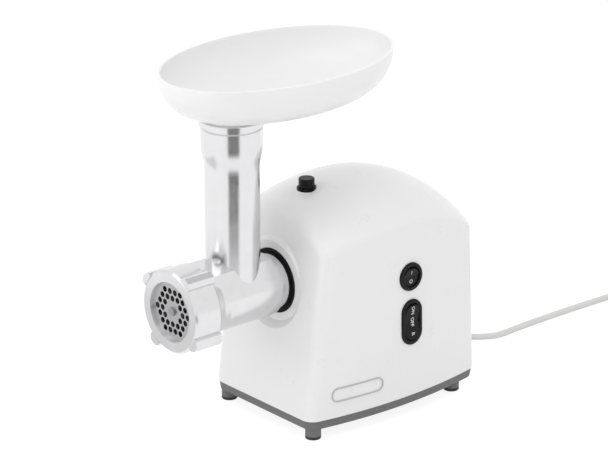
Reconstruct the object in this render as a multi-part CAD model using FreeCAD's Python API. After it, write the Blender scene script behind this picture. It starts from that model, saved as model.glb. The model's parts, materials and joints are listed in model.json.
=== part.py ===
import FreeCAD, Part
import math
import os

# Electric meat grinder. Millimetres, +Z up, the cutting plate faces -Y, the switches are on +X.
# Inside this file y = 0 is the middle of the four feet. export() shifts every piece so that the
# origin is the bottom centre of the whole grinder without its cord.

V = FreeCAD.Vector

# Housing and base
HOUSING_FRONT_Y = -79.2
HOUSING_REAR_Y = 89.5
HOUSING_HALF_WIDTH = 64.8
HOUSING_BOW_Y = 5.0
HOUSING_BOW_RADIUS = 387.0
HOUSING_BOTTOM_Z = 16.0
HOUSING_WALL = 2.5
FRONT_LEAN = 6.7
SIDE_DRAFT = 1.5
REAR_DRAFT = 1.5
CORNER_RADIUS = 10.0
ROOF_TOP_Z = 180.5
ROOF_RISE = 30.2
ROOF_FRONT_LENGTH = 160.0
ROOF_REAR_LENGTH = 115.0
ROOF_PEAK_Y = 6.0
ROOF_SECTIONS = 11
ROOF_FRONT_RADIUS = 12.0
ROOF_REAR_RADIUS = 3.5
ROOF_SIDE_RADIUS = 8.0
BASE_BOTTOM_Z = 9.0
BASE_FLOOR = 3.0
BASE_INSET_TOP = 0.6
BASE_INSET_BOTTOM = 1.6
BASE_LIP_HEIGHT = 3.0
FOOT_X = 48.9
FOOT_Y = 70.0
FOOT_RADIUS = 6.0
PAD_HEIGHT = 2.5
BOSS_RADIUS = 4.5
BOSS_TOP_Z = 45.0
SCREW_RADIUS = 1.7
SCREW_HEAD_RADIUS = 3.2
SCREW_HEAD_HEIGHT = 2.2
VENT_COUNT = 5

# Clearances
FIT = 0.05
RUN = 0.06
SLIDE = 0.3

# Grinding head, on an axis along Y
HEAD_Z = 110.6
NUT_FRONT_Y = -165.5
NUT_LENGTH = 24.0
NUT_WALL = 2.6
NUT_LIP = 2.8
NUT_OVERHANG = 4.3
LUG_COUNT = 4
LUG_ANGLE = 56.0
LUG_WIDTH = 11.0
LUG_HEIGHT = 4.5
MOUTH_WALL = 1.54
MOUTH_TAPER = 14.0
THREAD_DEPTH = 0.8
THREAD_PITCH = 3.0
PLATE_RADIUS = 27.0
PLATE_THICKNESS = 5.6
PLATE_HOLE_RADIUS = 2.25
PLATE_HOLE_PITCH = 5.8
KEY_WIDTH = 4.0
KEY_DEPTH = 2.4
PIN_RADIUS = 3.2
PIN_PROUD = 1.6
KNIFE_INSET = 4.0
KNIFE_THICKNESS = 6.0
KNIFE_SQUARE = 9.0
BARREL_RADIUS = 24.3
BARREL_BORE = 20.0
BARREL_REAR_Y = -78.0
NECK_RADIUS = 20.0
NECK_STEP = 1.8
NECK_STEP_Y = -69.5
TUBE_Y = -105.9
TUBE_RADIUS = 20.4
TUBE_BORE = 17.4
TUBE_FLARE_Z = 208.6
TUBE_FLARE_HEIGHT = 19.4
TUBE_FLARE = 2.5
TUBE_TOP_Z = 247.2
TUBE_LIP = 1.4
TUBE_LIP_HEIGHT = 5.4
TUBE_GROOVE = 0.9
GUSSET_HALF_WIDTH = 21.3
GUSSET_TOP_HALF_WIDTH = 16.5
GUSSET_RISE = 25.4
GUSSET_FOOT = 11.0
AUGER_CORE = 9.5
AUGER_PITCH = 23.0
AUGER_TAPER = 20.0
FLIGHT_THICKNESS = 4.0
AUGER_SHAFT_RADIUS = 7.0
BUSH_WALL = 3.0
HEX_FLATS = 10.0
HEX_LENGTH = 11.5

# Food tray
TRAY_RIM_Z = 283.0
TRAY_HALF_WIDTH = 63.6
TRAY_HALF_LENGTH = 98.6
TRAY_CENTRE_Y = -63.0
TRAY_FLOOR_HALF_WIDTH = 34.4
TRAY_FLOOR_HALF_LENGTH = 57.8
TRAY_FLOOR_Z = 249.4
TRAY_WALL = 1.8
TRAY_CURVE = 2.25
TRAY_SECTIONS = 8
SPOUT_WALL = 2.0
SPOUT_LENGTH = 27.0

# Socket, collar and lock
PAD_Y = -67.2
PAD_RADIUS = 31.0
PAD_DEPTH = 14.0
COLLAR_RADIUS = 24.9
COLLAR_PROUD = 1.0
SOCKET_WALL = 3.4
SOCKET_FLOOR_Y = -46.0
BUTTON_Y = -34.6
BUTTON_RADIUS = 6.0
BUTTON_PROUD = 8.5
BUTTON_SINK = 0.7
BUTTON_TRAVEL = 4.5
BEZEL_RADIUS = 7.4
BEZEL_HEIGHT = 1.2
ARM_Z = 162.5
ARM_THICKNESS = 3.0
YOKE_Y = -52.0
YOKE_THICKNESS = 3.0
YOKE_HALF_WIDTH = 33.0
YOKE_BAR = 6.0
TOOTH_WIDTH = 8.0
TOOTH_DEPTH = 2.5
SPRING_RADIUS = 5.0
SPRING_WIRE = 0.9
SPRING_TURNS = 4
SPRING_SEAT_Z = 153.0

# Switches and badge on the +X side
POWER_Y = 14.0
POWER_Z = 111.2
POWER_RADIUS = 11.0
DIRECTION_Y = 14.6
DIRECTION_Z = 75.0
DIRECTION_HALF_WIDTH = 10.0
DIRECTION_HALF_HEIGHT = 18.0
SWITCH_PROUD = 1.6
SWITCH_SEAT = 1.0
SWITCH_RIM = 2.9
SWITCH_DEPTH = 22.0
ROCKER_GAP = 0.4
ROCKER_TILT = 8.0
ROCKER_PIVOT = -1.5
ROCKER_VALLEY = 0.6
ROCKER_BACK = 2.7
ROCKER_ROOM = 2.8
PIVOT_RADIUS = 1.2
PIVOT_REACH = 1.2
BADGE_Y = -37.2
BADGE_Z = 33.7
BADGE_LENGTH = 46.5
BADGE_HEIGHT = 11.0
BADGE_BORDER = 0.8
BADGE_PROUD = 0.7

# Gear train: motor pinion, intermediate wheel and pinion, output gear
MOTOR_Z = 56.0
FAST_MODULE = 0.8
FAST_PINION_TEETH = 10
FAST_WHEEL_TEETH = 62
SLOW_MODULE = 1.25
SLOW_PINION_TEETH = 10
SLOW_WHEEL_TEETH = 58
PRESSURE_ANGLE = 20.0
PINION_ADDENDUM = 1.0
WHEEL_ADDENDUM = 0.6
DEDENDUM = 1.25
BACKLASH = 0.2
SLOW_FACE = 12.0
FAST_FACE = 8.0
GEAR_GAP = 2.0
CASE_WALL = 3.5
CASE_FLOOR = 4.0
CAVITY_ROOM = 1.6
CAVITY_DEPTH = 30.0
COVER_THICKNESS = 4.0
EAR_RADIUS = 5.0
AXLE_RADIUS = 3.0
OUTPUT_RADIUS = 9.0
OUTPUT_REAR_RADIUS = 6.0
SOCKET_BOSS = 6.0

# Motor
STATOR_FRONT_Y = 18.0
STATOR_LENGTH = 34.0
STATOR_HALF_WIDTH = 33.0
STATOR_HALF_HEIGHT = 28.0
STATOR_BORE = 17.7
STATOR_SLOT = 24.0
POLE_HALF_ANGLE = 44.0
AIR_GAP = 0.6
COIL_OVERHANG = 6.0
ARMATURE_SLOTS = 12
SLOT_WIDTH = 2.5
SLOT_DEPTH = 7.5
SHAFT_RADIUS = 4.0
JOURNAL_RADIUS = 3.0
BEARING_RADIUS = 9.5
BEARING_WIDTH = 6.0
FAN_RADIUS = 20.0
FAN_BLADES = 9
FAN_DEPTH = 8.0
COMMUTATOR_RADIUS = 11.0
COMMUTATOR_LENGTH = 12.0
COMMUTATOR_BARS = 24
BRUSH_SIZE = 6.0
BRUSH_REACH = 17.0
BRACKET_THICKNESS = 4.0
BRACKET_ARM_X = 28.6
BRACKET_ARM_RADIUS = 4.4
MOTOR_SCREW_RADIUS = 2.0

# Mains cord
CORD_RADIUS = 2.5
CORD_EXIT_Z = 26.0
RELIEF_LENGTH = 20.0
RELIEF_DROP = 20.0
RELIEF_RADIUS = 5.0
RELIEF_TIP = 3.4
COIL_CENTRE = (37.5, 344.0)
COIL_RADIUS = 36.0
COIL_TURNS = 5.5
COIL_STEP = 5.6
COIL_LIFT = 0.9
TIE_WIDTH = 6.0
TIE_THICKNESS = 0.7
PLUG_LENGTH = 35.0
PLUG_WIDTH = 26.0
PLUG_HEIGHT = 13.6
PLUG_PIN_RADIUS = 2.0
PLUG_PIN_LENGTH = 19.0
PLUG_PIN_SPACING = 18.6
TAIL_LENGTH = 45.0
LEAD_IN = 34.0

# Places that follow from the sizes above
Y_SHIFT = -(NUT_FRONT_Y + HOUSING_REAR_Y) / 2
PLATE_FRONT_Y = NUT_FRONT_Y + NUT_LIP + FIT
PLATE_REAR_Y = PLATE_FRONT_Y + PLATE_THICKNESS
KNIFE_REAR_Y = PLATE_REAR_Y + SLIDE + KNIFE_THICKNESS
NUT_REAR_Y = NUT_FRONT_Y + NUT_LENGTH
THREAD_RADIUS = PLATE_RADIUS + RUN + MOUTH_WALL
NUT_RADIUS = THREAD_RADIUS + SLIDE + NUT_WALL
NUT_OPENING_RADIUS = PLATE_RADIUS - NUT_OVERHANG
LUG_RADIUS = NUT_RADIUS + LUG_HEIGHT
KNIFE_RADIUS = PLATE_RADIUS - KNIFE_INSET
SOCKET_RADIUS = NECK_RADIUS + FIT + SOCKET_WALL
CAVITY_FRONT_Y = SOCKET_FLOOR_Y + CASE_FLOOR
CAVITY_REAR_Y = CAVITY_FRONT_Y + CAVITY_DEPTH
COVER_REAR_Y = CAVITY_REAR_Y + COVER_THICKNESS
SLOW_Y = CAVITY_FRONT_Y + GEAR_GAP
FAST_Y = SLOW_Y + SLOW_FACE + 3 * GEAR_GAP
STATOR_REAR_Y = STATOR_FRONT_Y + STATOR_LENGTH
BEARING_Y = COVER_REAR_Y + FIT
FAN_Y = BEARING_Y + BEARING_WIDTH + GEAR_GAP
COMMUTATOR_Y = STATOR_REAR_Y + COIL_OVERHANG + GEAR_GAP
BRACKET_Y = COMMUTATOR_Y + COMMUTATOR_LENGTH + GEAR_GAP
REAR_BEARING_Y = BRACKET_Y + BRACKET_THICKNESS
PIVOT_SPAN = HOUSING_HALF_WIDTH + FOOT_RADIUS
AXIS_HEAD = (0.0, HEAD_Z)
AXIS_MOTOR = (0.0, MOTOR_Z)


def intermediate_axis():
    """Where the intermediate axle stands: one centre distance from each of the two other axes."""
    slow = SLOW_MODULE * (SLOW_PINION_TEETH + SLOW_WHEEL_TEETH) / 2
    fast = FAST_MODULE * (FAST_PINION_TEETH + FAST_WHEEL_TEETH) / 2
    span = HEAD_Z - MOTOR_Z
    turn = math.acos((slow ** 2 + span ** 2 - fast ** 2) / (2 * slow * span))
    return (-slow * math.sin(turn), HEAD_Z - slow * math.cos(turn))


AXIS_MIDDLE = intermediate_axis()


# Small shape helpers
def box(x0, x1, y0, y1, z0, z1):
    return Part.makeBox(x1 - x0, y1 - y0, z1 - z0, V(x0, y0, z0))


def rod_y(axis, radius, y0, y1):
    return Part.makeCylinder(radius, y1 - y0, V(axis[0], y0, axis[1]), V(0, 1, 0))


def tube_y(axis, outer, inner, y0, y1):
    return rod_y(axis, outer, y0, y1).cut(rod_y(axis, inner, y0, y1))


def rod_z(x, y, radius, z0, z1):
    return Part.makeCylinder(radius, z1 - z0, V(x, y, z0))


def rod_x(y, z, radius, x0, x1):
    return Part.makeCylinder(radius, x1 - x0, V(x0, y, z), V(1, 0, 0))


def polygon_face(points):
    return Part.Face(Part.makePolygon(points + points[:1]))


def prism_y(points, y0, y1):
    """Extrude an outline of (x, z) points along Y."""
    return polygon_face([V(x, y0, z) for x, z in points]).extrude(V(0, y1 - y0, 0))


def turned_y(axis, profile):
    """Turn a closed outline of (radius, y) points about an axis along Y."""
    face = polygon_face([V(axis[0] + r, y, axis[1]) for r, y in profile])
    return face.revolve(V(axis[0], 0, axis[1]), V(0, 1, 0), 360)


def polar(axis, radius, degrees):
    angle = math.radians(degrees)
    return (axis[0] + radius * math.cos(angle), axis[1] + radius * math.sin(angle))


def fused(shapes):
    return shapes[0].fuse(shapes[1:]).removeSplitter()


def stadium_x(half_width, half_height, x0, x1):
    """A prism along X with an upright stadium section, centred on y = z = 0."""
    run = half_height - half_width
    core = box(x0, x1, -half_width, half_width, -run, run)
    return fused([core, rod_x(0, run, half_width, x0, x1), rod_x(0, -run, half_width, x0, x1)])


# Housing
def wall_shift(z, degrees):
    return (z - HOUSING_BOTTOM_Z) * math.tan(math.radians(degrees))


def side_x(y, z, inset=0.0):
    """Half the housing's width at one place on its bowed, drafted side."""
    radius = HOUSING_BOW_RADIUS - inset
    half = HOUSING_HALF_WIDTH - wall_shift(z, SIDE_DRAFT) - inset
    return half - radius + math.sqrt(radius ** 2 - (y - HOUSING_BOW_Y) ** 2)


def plan_wire(z, inset, at_z=None):
    front = HOUSING_FRONT_Y + wall_shift(z, FRONT_LEAN) + inset
    rear = HOUSING_REAR_Y - wall_shift(z, REAR_DRAFT) - inset
    height = z if at_z is None else at_z
    corners = [V(-side_x(front, z, inset), front, height), V(side_x(front, z, inset), front, height),
               V(side_x(rear, z, inset), rear, height), V(-side_x(rear, z, inset), rear, height)]
    bow = side_x(HOUSING_BOW_Y, z, inset)
    return Part.Wire([
        Part.LineSegment(corners[0], corners[1]).toShape(),
        Part.Arc(corners[1], V(bow, HOUSING_BOW_Y, height), corners[2]).toShape(),
        Part.LineSegment(corners[2], corners[3]).toShape(),
        Part.Arc(corners[3], V(-bow, HOUSING_BOW_Y, height), corners[0]).toShape()])


def upright_edges(shape):
    return [e for e in shape.Edges if abs(e.tangentAt(e.FirstParameter).z) > 0.9]


def ridge_z(y):
    """Height of the roof along its middle: two arcs that meet level at the peak."""
    radius = ROOF_FRONT_LENGTH if y < ROOF_PEAK_Y else ROOF_REAR_LENGTH
    return ROOF_TOP_Z - radius + math.sqrt(radius ** 2 - (y - ROOF_PEAK_Y) ** 2)


BUTTON_SEAT_Z = ridge_z(BUTTON_Y) - BUTTON_SINK
BUTTON_TOP_Z = ridge_z(BUTTON_Y) + BUTTON_PROUD


def roof_cutter(inset):
    """Everything under the roof: one arch across X that rises and falls along the ridge."""
    arch = (HOUSING_HALF_WIDTH ** 2 + ROOF_RISE ** 2) / (2 * ROOF_RISE) - inset
    half = HOUSING_HALF_WIDTH + BASE_INSET_BOTTOM
    fall = arch - math.sqrt(arch ** 2 - half ** 2)
    low = HOUSING_BOTTOM_Z - 5
    start = HOUSING_FRONT_Y - 8
    step = (HOUSING_REAR_Y + 8 - start) / (ROOF_SECTIONS - 1)
    wires = []
    for i in range(ROOF_SECTIONS):
        y = start + step * i
        top = ridge_z(y) - inset
        ends = [V(-half, y, low), V(half, y, low), V(half, y, top - fall), V(-half, y, top - fall)]
        wires.append(Part.Wire([
            Part.LineSegment(ends[0], ends[1]).toShape(),
            Part.LineSegment(ends[1], ends[2]).toShape(),
            Part.Arc(ends[2], V(0, y, top), ends[3]).toShape(),
            Part.LineSegment(ends[3], ends[0]).toShape()]))
    return Part.makeLoft(wires, True)


def rounded_edges(shape, inset):
    """Round the body: upright corners, a soft front edge, side edges that sharpen to the rear."""
    soft = ROOF_FRONT_RADIUS - inset
    crisp = ROOF_REAR_RADIUS - inset
    side = ROOF_SIDE_RADIUS - inset
    spec = []
    for number, edge in enumerate(shape.Edges, 1):
        bounds = edge.BoundBox
        middle = edge.CenterOfMass
        starts_in_front = edge.valueAt(edge.FirstParameter).y < middle.y
        if bounds.ZLength > ROOF_TOP_Z / 3:
            spec.append((number, CORNER_RADIUS - inset, CORNER_RADIUS - inset))
        elif bounds.ZMin > HOUSING_BOTTOM_Z + 1:
            if bounds.YLength > HOUSING_HALF_WIDTH:
                spec.append((number, side, crisp) if starts_in_front else (number, crisp, side))
            else:
                radius = soft if middle.y < 0 else crisp
                spec.append((number, radius, radius))
    document = FreeCAD.newDocument()
    source = document.addObject("Part::Feature")
    source.Shape = shape
    rounded = document.addObject("Part::Fillet")
    rounded.Base = source
    rounded.Edges = spec
    document.recompute()
    result = rounded.Shape.copy()
    FreeCAD.closeDocument(document.Name)
    return result


def housing_body(inset):
    walls = Part.makeLoft([plan_wire(HOUSING_BOTTOM_Z, inset), plan_wire(ROOF_TOP_Z + 6, inset)], True, True)
    return rounded_edges(walls.common(roof_cutter(inset)).Solids[0], inset)


def head_cone(radius, y0, y1):
    """A cone on the head's axis that widens by 45 degrees from y0 to y1."""
    growth = abs(y1 - y0)
    return Part.makeCone(radius, radius + growth, growth, V(0, y0, HEAD_Z), V(0, math.copysign(1, y1 - y0), 0))


def foot_places():
    return [(x, y) for x in (-FOOT_X, FOOT_X) for y in (-FOOT_Y, FOOT_Y)]


def switch_place(shape, y, z):
    """Set a piece built round x = 0 on the drafted side wall."""
    placed = shape.copy()
    placed.rotate(V(0, 0, 0), V(0, 1, 0), -SIDE_DRAFT)
    placed.translate(V(side_x(y, z), y, z))
    return placed


def housing_shell():
    depth = PAD_DEPTH
    outer = housing_body(0.0).fuse(head_cone(PAD_RADIUS, PAD_Y, PAD_Y + depth).common(
        box(-PIVOT_SPAN, PIVOT_SPAN, PAD_Y, PAD_Y + depth, HOUSING_BOTTOM_Z, ROOF_TOP_Z)))
    outer = outer.cut(head_cone(PAD_RADIUS, PAD_Y, PAD_Y - depth))
    backing = head_cone(PAD_RADIUS + HOUSING_WALL, PAD_Y + HOUSING_WALL, PAD_Y - depth)
    shell = outer.cut(housing_body(HOUSING_WALL).cut(backing))
    middle = housing_body(HOUSING_WALL / 2)
    guide = BEZEL_RADIUS + HOUSING_WALL
    arm_top = ARM_Z + ARM_THICKNESS + SLIDE
    added = [rod_z(0, BUTTON_Y, guide, arm_top, ridge_z(BUTTON_Y - guide) - HOUSING_WALL / 2),
             rod_z(0, BUTTON_Y, BEZEL_RADIUS + FIT, arm_top, BUTTON_SEAT_Z)]
    cuts = [rod_y(AXIS_HEAD, COLLAR_RADIUS + FIT, PAD_Y - depth, PAD_Y + depth),
            rod_z(0, BUTTON_Y, BEZEL_RADIUS - 0.5, ARM_Z, BUTTON_TOP_Z),
            rod_z(0, BUTTON_Y, BEZEL_RADIUS + FIT, BUTTON_SEAT_Z, BUTTON_TOP_Z),
            relief_rod(RELIEF_RADIUS + FIT, -HOUSING_WALL * 3, RELIEF_LENGTH / 2)]
    for x, y in foot_places():
        added.append(rod_z(x, y, BOSS_RADIUS, BASE_BOTTOM_Z + BASE_FLOOR, BOSS_TOP_Z))
        rib = box(min(x, x * 1.5), max(x, x * 1.5), y - HOUSING_WALL / 2, y + HOUSING_WALL / 2,
                  HOUSING_BOTTOM_Z + BASE_LIP_HEIGHT + SLIDE, BOSS_TOP_Z)
        added.append(rib.common(middle))
        cuts.append(rod_z(x, y, SCREW_RADIUS + FIT, BASE_BOTTOM_Z, BOSS_TOP_Z - HOUSING_WALL))
    power_seat = rod_x(0, 0, POWER_RADIUS + FIT, -SWITCH_SEAT, SWITCH_PROUD)
    power_hole = rod_x(0, 0, POWER_RADIUS - 1.2 + FIT, -SWITCH_DEPTH, 0)
    cuts.append(switch_place(power_seat.fuse(power_hole), POWER_Y, POWER_Z))
    direction_seat = stadium_x(DIRECTION_HALF_WIDTH + FIT, DIRECTION_HALF_HEIGHT + FIT, -SWITCH_SEAT, SWITCH_PROUD)
    direction_hole = stadium_x(DIRECTION_HALF_WIDTH - 1.2 + FIT, DIRECTION_HALF_HEIGHT - 1.2 + FIT,
                               -SWITCH_DEPTH, 0)
    cuts.append(switch_place(direction_seat.fuse(direction_hole), DIRECTION_Y, DIRECTION_Z))
    return shell.fuse(added).cut(cuts).removeSplitter()


def base_plate():
    skirt = Part.makeLoft([plan_wire(HOUSING_BOTTOM_Z, BASE_INSET_BOTTOM, BASE_BOTTOM_Z),
                           plan_wire(HOUSING_BOTTOM_Z, BASE_INSET_TOP)], True, True)
    skirt = skirt.makeFillet(CORNER_RADIUS - BASE_INSET_TOP, upright_edges(skirt))
    inset = BASE_INSET_BOTTOM + HOUSING_WALL
    room = Part.makeLoft([plan_wire(HOUSING_BOTTOM_Z, inset, BASE_BOTTOM_Z + BASE_FLOOR),
                          plan_wire(HOUSING_BOTTOM_Z, inset)], True, True)
    room = room.makeFillet(CORNER_RADIUS - HOUSING_WALL, upright_edges(room))
    lip_inset = HOUSING_WALL + SLIDE
    lip_top = HOUSING_BOTTOM_Z + BASE_LIP_HEIGHT
    lip_bottom = HOUSING_BOTTOM_Z - HOUSING_WALL
    lip = Part.makeLoft([plan_wire(lip_bottom, lip_inset), plan_wire(lip_top, lip_inset)], True, True)
    lip = lip.makeFillet(CORNER_RADIUS - lip_inset, upright_edges(lip))
    inner = Part.makeLoft([plan_wire(lip_bottom, lip_inset + HOUSING_WALL),
                           plan_wire(lip_top, lip_inset + HOUSING_WALL)], True, True)
    inner = inner.makeFillet(CORNER_RADIUS - lip_inset - HOUSING_WALL, upright_edges(inner))
    floor_top = BASE_BOTTOM_Z + BASE_FLOOR
    saddle = box(-STATOR_HALF_WIDTH * 0.6, STATOR_HALF_WIDTH * 0.6, STATOR_FRONT_Y + 4, STATOR_REAR_Y - 4,
                 BASE_BOTTOM_Z + 1, MOTOR_Z - STATOR_HALF_HEIGHT)
    cuts = []
    posts = []
    for x, y in foot_places():
        posts.append(rod_z(x, y, FOOT_RADIUS, PAD_HEIGHT, BASE_BOTTOM_Z + 1))
        cuts.append(rod_z(x, y, SCREW_HEAD_RADIUS + SLIDE, PAD_HEIGHT, BASE_BOTTOM_Z))
        cuts.append(rod_z(x, y, SCREW_RADIUS + FIT, PAD_HEIGHT, floor_top))
        cuts.append(rod_z(x, y, BOSS_RADIUS + SLIDE, floor_top, lip_top))
    for x, y in case_screw_places():
        cuts.append(rod_z(x, y, SCREW_RADIUS + FIT, BASE_BOTTOM_Z, floor_top))
    vent_step = 2 * FOOT_X / (VENT_COUNT + 2)
    for i in range(VENT_COUNT):
        x = (i - (VENT_COUNT - 1) / 2) * vent_step
        cuts.append(box(x - 2, x + 2, -FOOT_Y + 5, -FOOT_Y / 2 - 10, BASE_BOTTOM_Z, floor_top))
    return skirt.cut(room).fuse([lip.cut(inner), saddle] + posts).cut(cuts).removeSplitter()


def rubber_feet():
    pads = []
    for x, y in foot_places():
        pad = rod_z(x, y, FOOT_RADIUS, 0, PAD_HEIGHT)
        low = [e for e in pad.Edges if e.BoundBox.ZMax < PAD_HEIGHT / 2]
        pads.append(pad.makeFillet(PAD_HEIGHT / 4, low))
    return Part.makeCompound(pads)


def base_screws():
    head_top = BASE_BOTTOM_Z
    screws = []
    for x, y in foot_places():
        head = rod_z(x, y, SCREW_HEAD_RADIUS, head_top - SCREW_HEAD_HEIGHT, head_top)
        screws.append(head.fuse(rod_z(x, y, SCREW_RADIUS, head_top, BOSS_TOP_Z * 0.7)).removeSplitter())
    return Part.makeCompound(screws)


def badge_frame():
    outer = stadium_x(BADGE_HEIGHT / 2, BADGE_LENGTH / 2, 0, HOUSING_HALF_WIDTH * 2)
    inner = stadium_x(BADGE_HEIGHT / 2 - BADGE_BORDER, BADGE_LENGTH / 2 - BADGE_BORDER, 0, HOUSING_HALF_WIDTH * 2)
    ring = outer.cut(inner)
    ring.rotate(V(0, 0, 0), V(1, 0, 0), 90)
    ring.translate(V(0, BADGE_Y, BADGE_Z))
    low = BADGE_Z - BADGE_HEIGHT
    high = BADGE_Z + BADGE_HEIGHT
    skin = Part.makeLoft([plan_wire(low, -BADGE_PROUD), plan_wire(high, -BADGE_PROUD)], True, True)
    return ring.common(skin).cut(Part.makeLoft([plan_wire(low, -FIT), plan_wire(high, -FIT)], True, True))


# Head and its working parts
def head_bore(y0, y1, radius):
    return rod_y(AXIS_HEAD, radius, y0, y1)


def head_casting():
    front = PLATE_FRONT_Y + 1.5
    thread_end = NUT_REAR_Y - THREAD_PITCH
    profile = [(0, front)]
    crests = int((thread_end - front) / THREAD_PITCH)
    for i in range(crests):
        y = front + i * THREAD_PITCH
        profile += [(THREAD_RADIUS - THREAD_DEPTH, y), (THREAD_RADIUS, y + THREAD_PITCH * 0.3),
                    (THREAD_RADIUS, y + THREAD_PITCH * 0.7), (THREAD_RADIUS - THREAD_DEPTH, y + THREAD_PITCH)]
    profile += [(THREAD_RADIUS - THREAD_DEPTH, NUT_REAR_Y), (BARREL_RADIUS + 1, NUT_REAR_Y + MOUTH_TAPER * 0.57),
                (BARREL_RADIUS, NUT_REAR_Y + MOUTH_TAPER), (BARREL_RADIUS, BARREL_REAR_Y),
                (NECK_RADIUS + NECK_STEP, BARREL_REAR_Y + 1), (NECK_RADIUS + NECK_STEP, NECK_STEP_Y - 0.5),
                (NECK_RADIUS, NECK_STEP_Y), (NECK_RADIUS, SOCKET_FLOOR_Y - FIT), (0, SOCKET_FLOOR_Y - FIT)]
    barrel = turned_y(AXIS_HEAD, profile)
    return barrel.fuse([feed_tube(), gusset()]).cut(head_cuts()).removeSplitter()


def feed_tube():
    """Outside of the feed tube: straight, then an S-shaped flare, a groove and a lip."""
    def at(radius, z):
        return V(radius, TUBE_Y, z)
    low = at(TUBE_RADIUS, TUBE_FLARE_Z)
    middle = at(TUBE_RADIUS + TUBE_FLARE / 2, TUBE_FLARE_Z + TUBE_FLARE_HEIGHT / 2)
    high = at(TUBE_RADIUS + TUBE_FLARE, TUBE_FLARE_Z + TUBE_FLARE_HEIGHT)
    lip_z = TUBE_TOP_Z - TUBE_LIP_HEIGHT
    lip_r = TUBE_RADIUS + TUBE_FLARE + TUBE_LIP
    groove_r = TUBE_RADIUS + TUBE_FLARE - TUBE_GROOVE
    first = at(TUBE_RADIUS + TUBE_FLARE / 8, TUBE_FLARE_Z + TUBE_FLARE_HEIGHT / 4)
    second = at(TUBE_RADIUS + TUBE_FLARE * 7 / 8, TUBE_FLARE_Z + TUBE_FLARE_HEIGHT * 3 / 4)
    corners = [high, at(TUBE_RADIUS + TUBE_FLARE, lip_z - 2 * TUBE_GROOVE), at(groove_r, lip_z - TUBE_GROOVE),
               at(groove_r, lip_z), at(lip_r, lip_z + TUBE_LIP / 2), at(lip_r, TUBE_TOP_Z - TUBE_LIP / 2),
               at(lip_r - TUBE_LIP / 2, TUBE_TOP_Z), at(0, TUBE_TOP_Z), at(0, HEAD_Z), at(TUBE_RADIUS, HEAD_Z), low]
    edges = [Part.Arc(low, first, middle).toShape(), Part.Arc(middle, second, high).toShape()]
    edges += [Part.LineSegment(a, b).toShape() for a, b in zip(corners, corners[1:])]
    return Part.Face(Part.Wire(edges)).revolve(V(0, TUBE_Y, 0), V(0, 0, 1), 360)


def gusset():
    """Flat-topped rib along the barrel's top that carries the feed tube."""
    low = HEAD_Z + GUSSET_FOOT
    top = HEAD_Z + GUSSET_RISE
    outline = [(-GUSSET_HALF_WIDTH, low), (GUSSET_HALF_WIDTH, low),
               (GUSSET_TOP_HALF_WIDTH, top), (-GUSSET_TOP_HALF_WIDTH, top)]
    return prism_y(outline, NUT_REAR_Y + 1, TUBE_Y + TUBE_RADIUS + 3)


def head_cuts():
    knife_room_rear = KNIFE_REAR_Y + SLIDE
    inner_y = SOCKET_FLOOR_Y - SOCKET_BOSS - 1
    bush_rear = inner_y - GEAR_GAP - HEX_LENGTH / 2
    notch = box(-TOOTH_WIDTH / 2 - SLIDE, TOOTH_WIDTH / 2 + SLIDE, YOKE_Y - SLIDE, YOKE_Y + YOKE_THICKNESS + SLIDE,
                HEAD_Z - NECK_RADIUS - 1, HEAD_Z - NECK_RADIUS + TOOTH_DEPTH + SLIDE)
    key = key_block(-SLIDE)
    plate_room = head_bore(NUT_FRONT_Y, PLATE_REAR_Y, PLATE_RADIUS + RUN).cut(key)
    flare = Part.makeCone(TUBE_BORE, TUBE_BORE + 2.6, 14, V(0, TUBE_Y, TUBE_TOP_Z - 14))
    return [plate_room, head_bore(PLATE_REAR_Y, knife_room_rear, KNIFE_RADIUS + 1.5),
            head_bore(knife_room_rear, BARREL_REAR_Y, BARREL_BORE),
            head_bore(BARREL_REAR_Y, bush_rear, AUGER_SHAFT_RADIUS + RUN + BUSH_WALL + FIT),
            head_bore(bush_rear, inner_y, OUTPUT_RADIUS + BUSH_WALL),
            head_bore(inner_y, SOCKET_FLOOR_Y, OUTPUT_RADIUS + 2 * BUSH_WALL + SLIDE),
            rod_z(0, TUBE_Y, TUBE_BORE, HEAD_Z, TUBE_TOP_Z), flare, notch]


def key_block(gap):
    """The key in the head's mouth, or with a gap the slot it fills in the plate's rim."""
    half = KEY_WIDTH / 2 + gap
    inner = PLATE_RADIUS - KEY_DEPTH - gap
    return box(-half, half, PLATE_FRONT_Y + 1.5, PLATE_REAR_Y + 1, HEAD_Z - THREAD_RADIUS + THREAD_DEPTH,
               HEAD_Z - inner)


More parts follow.
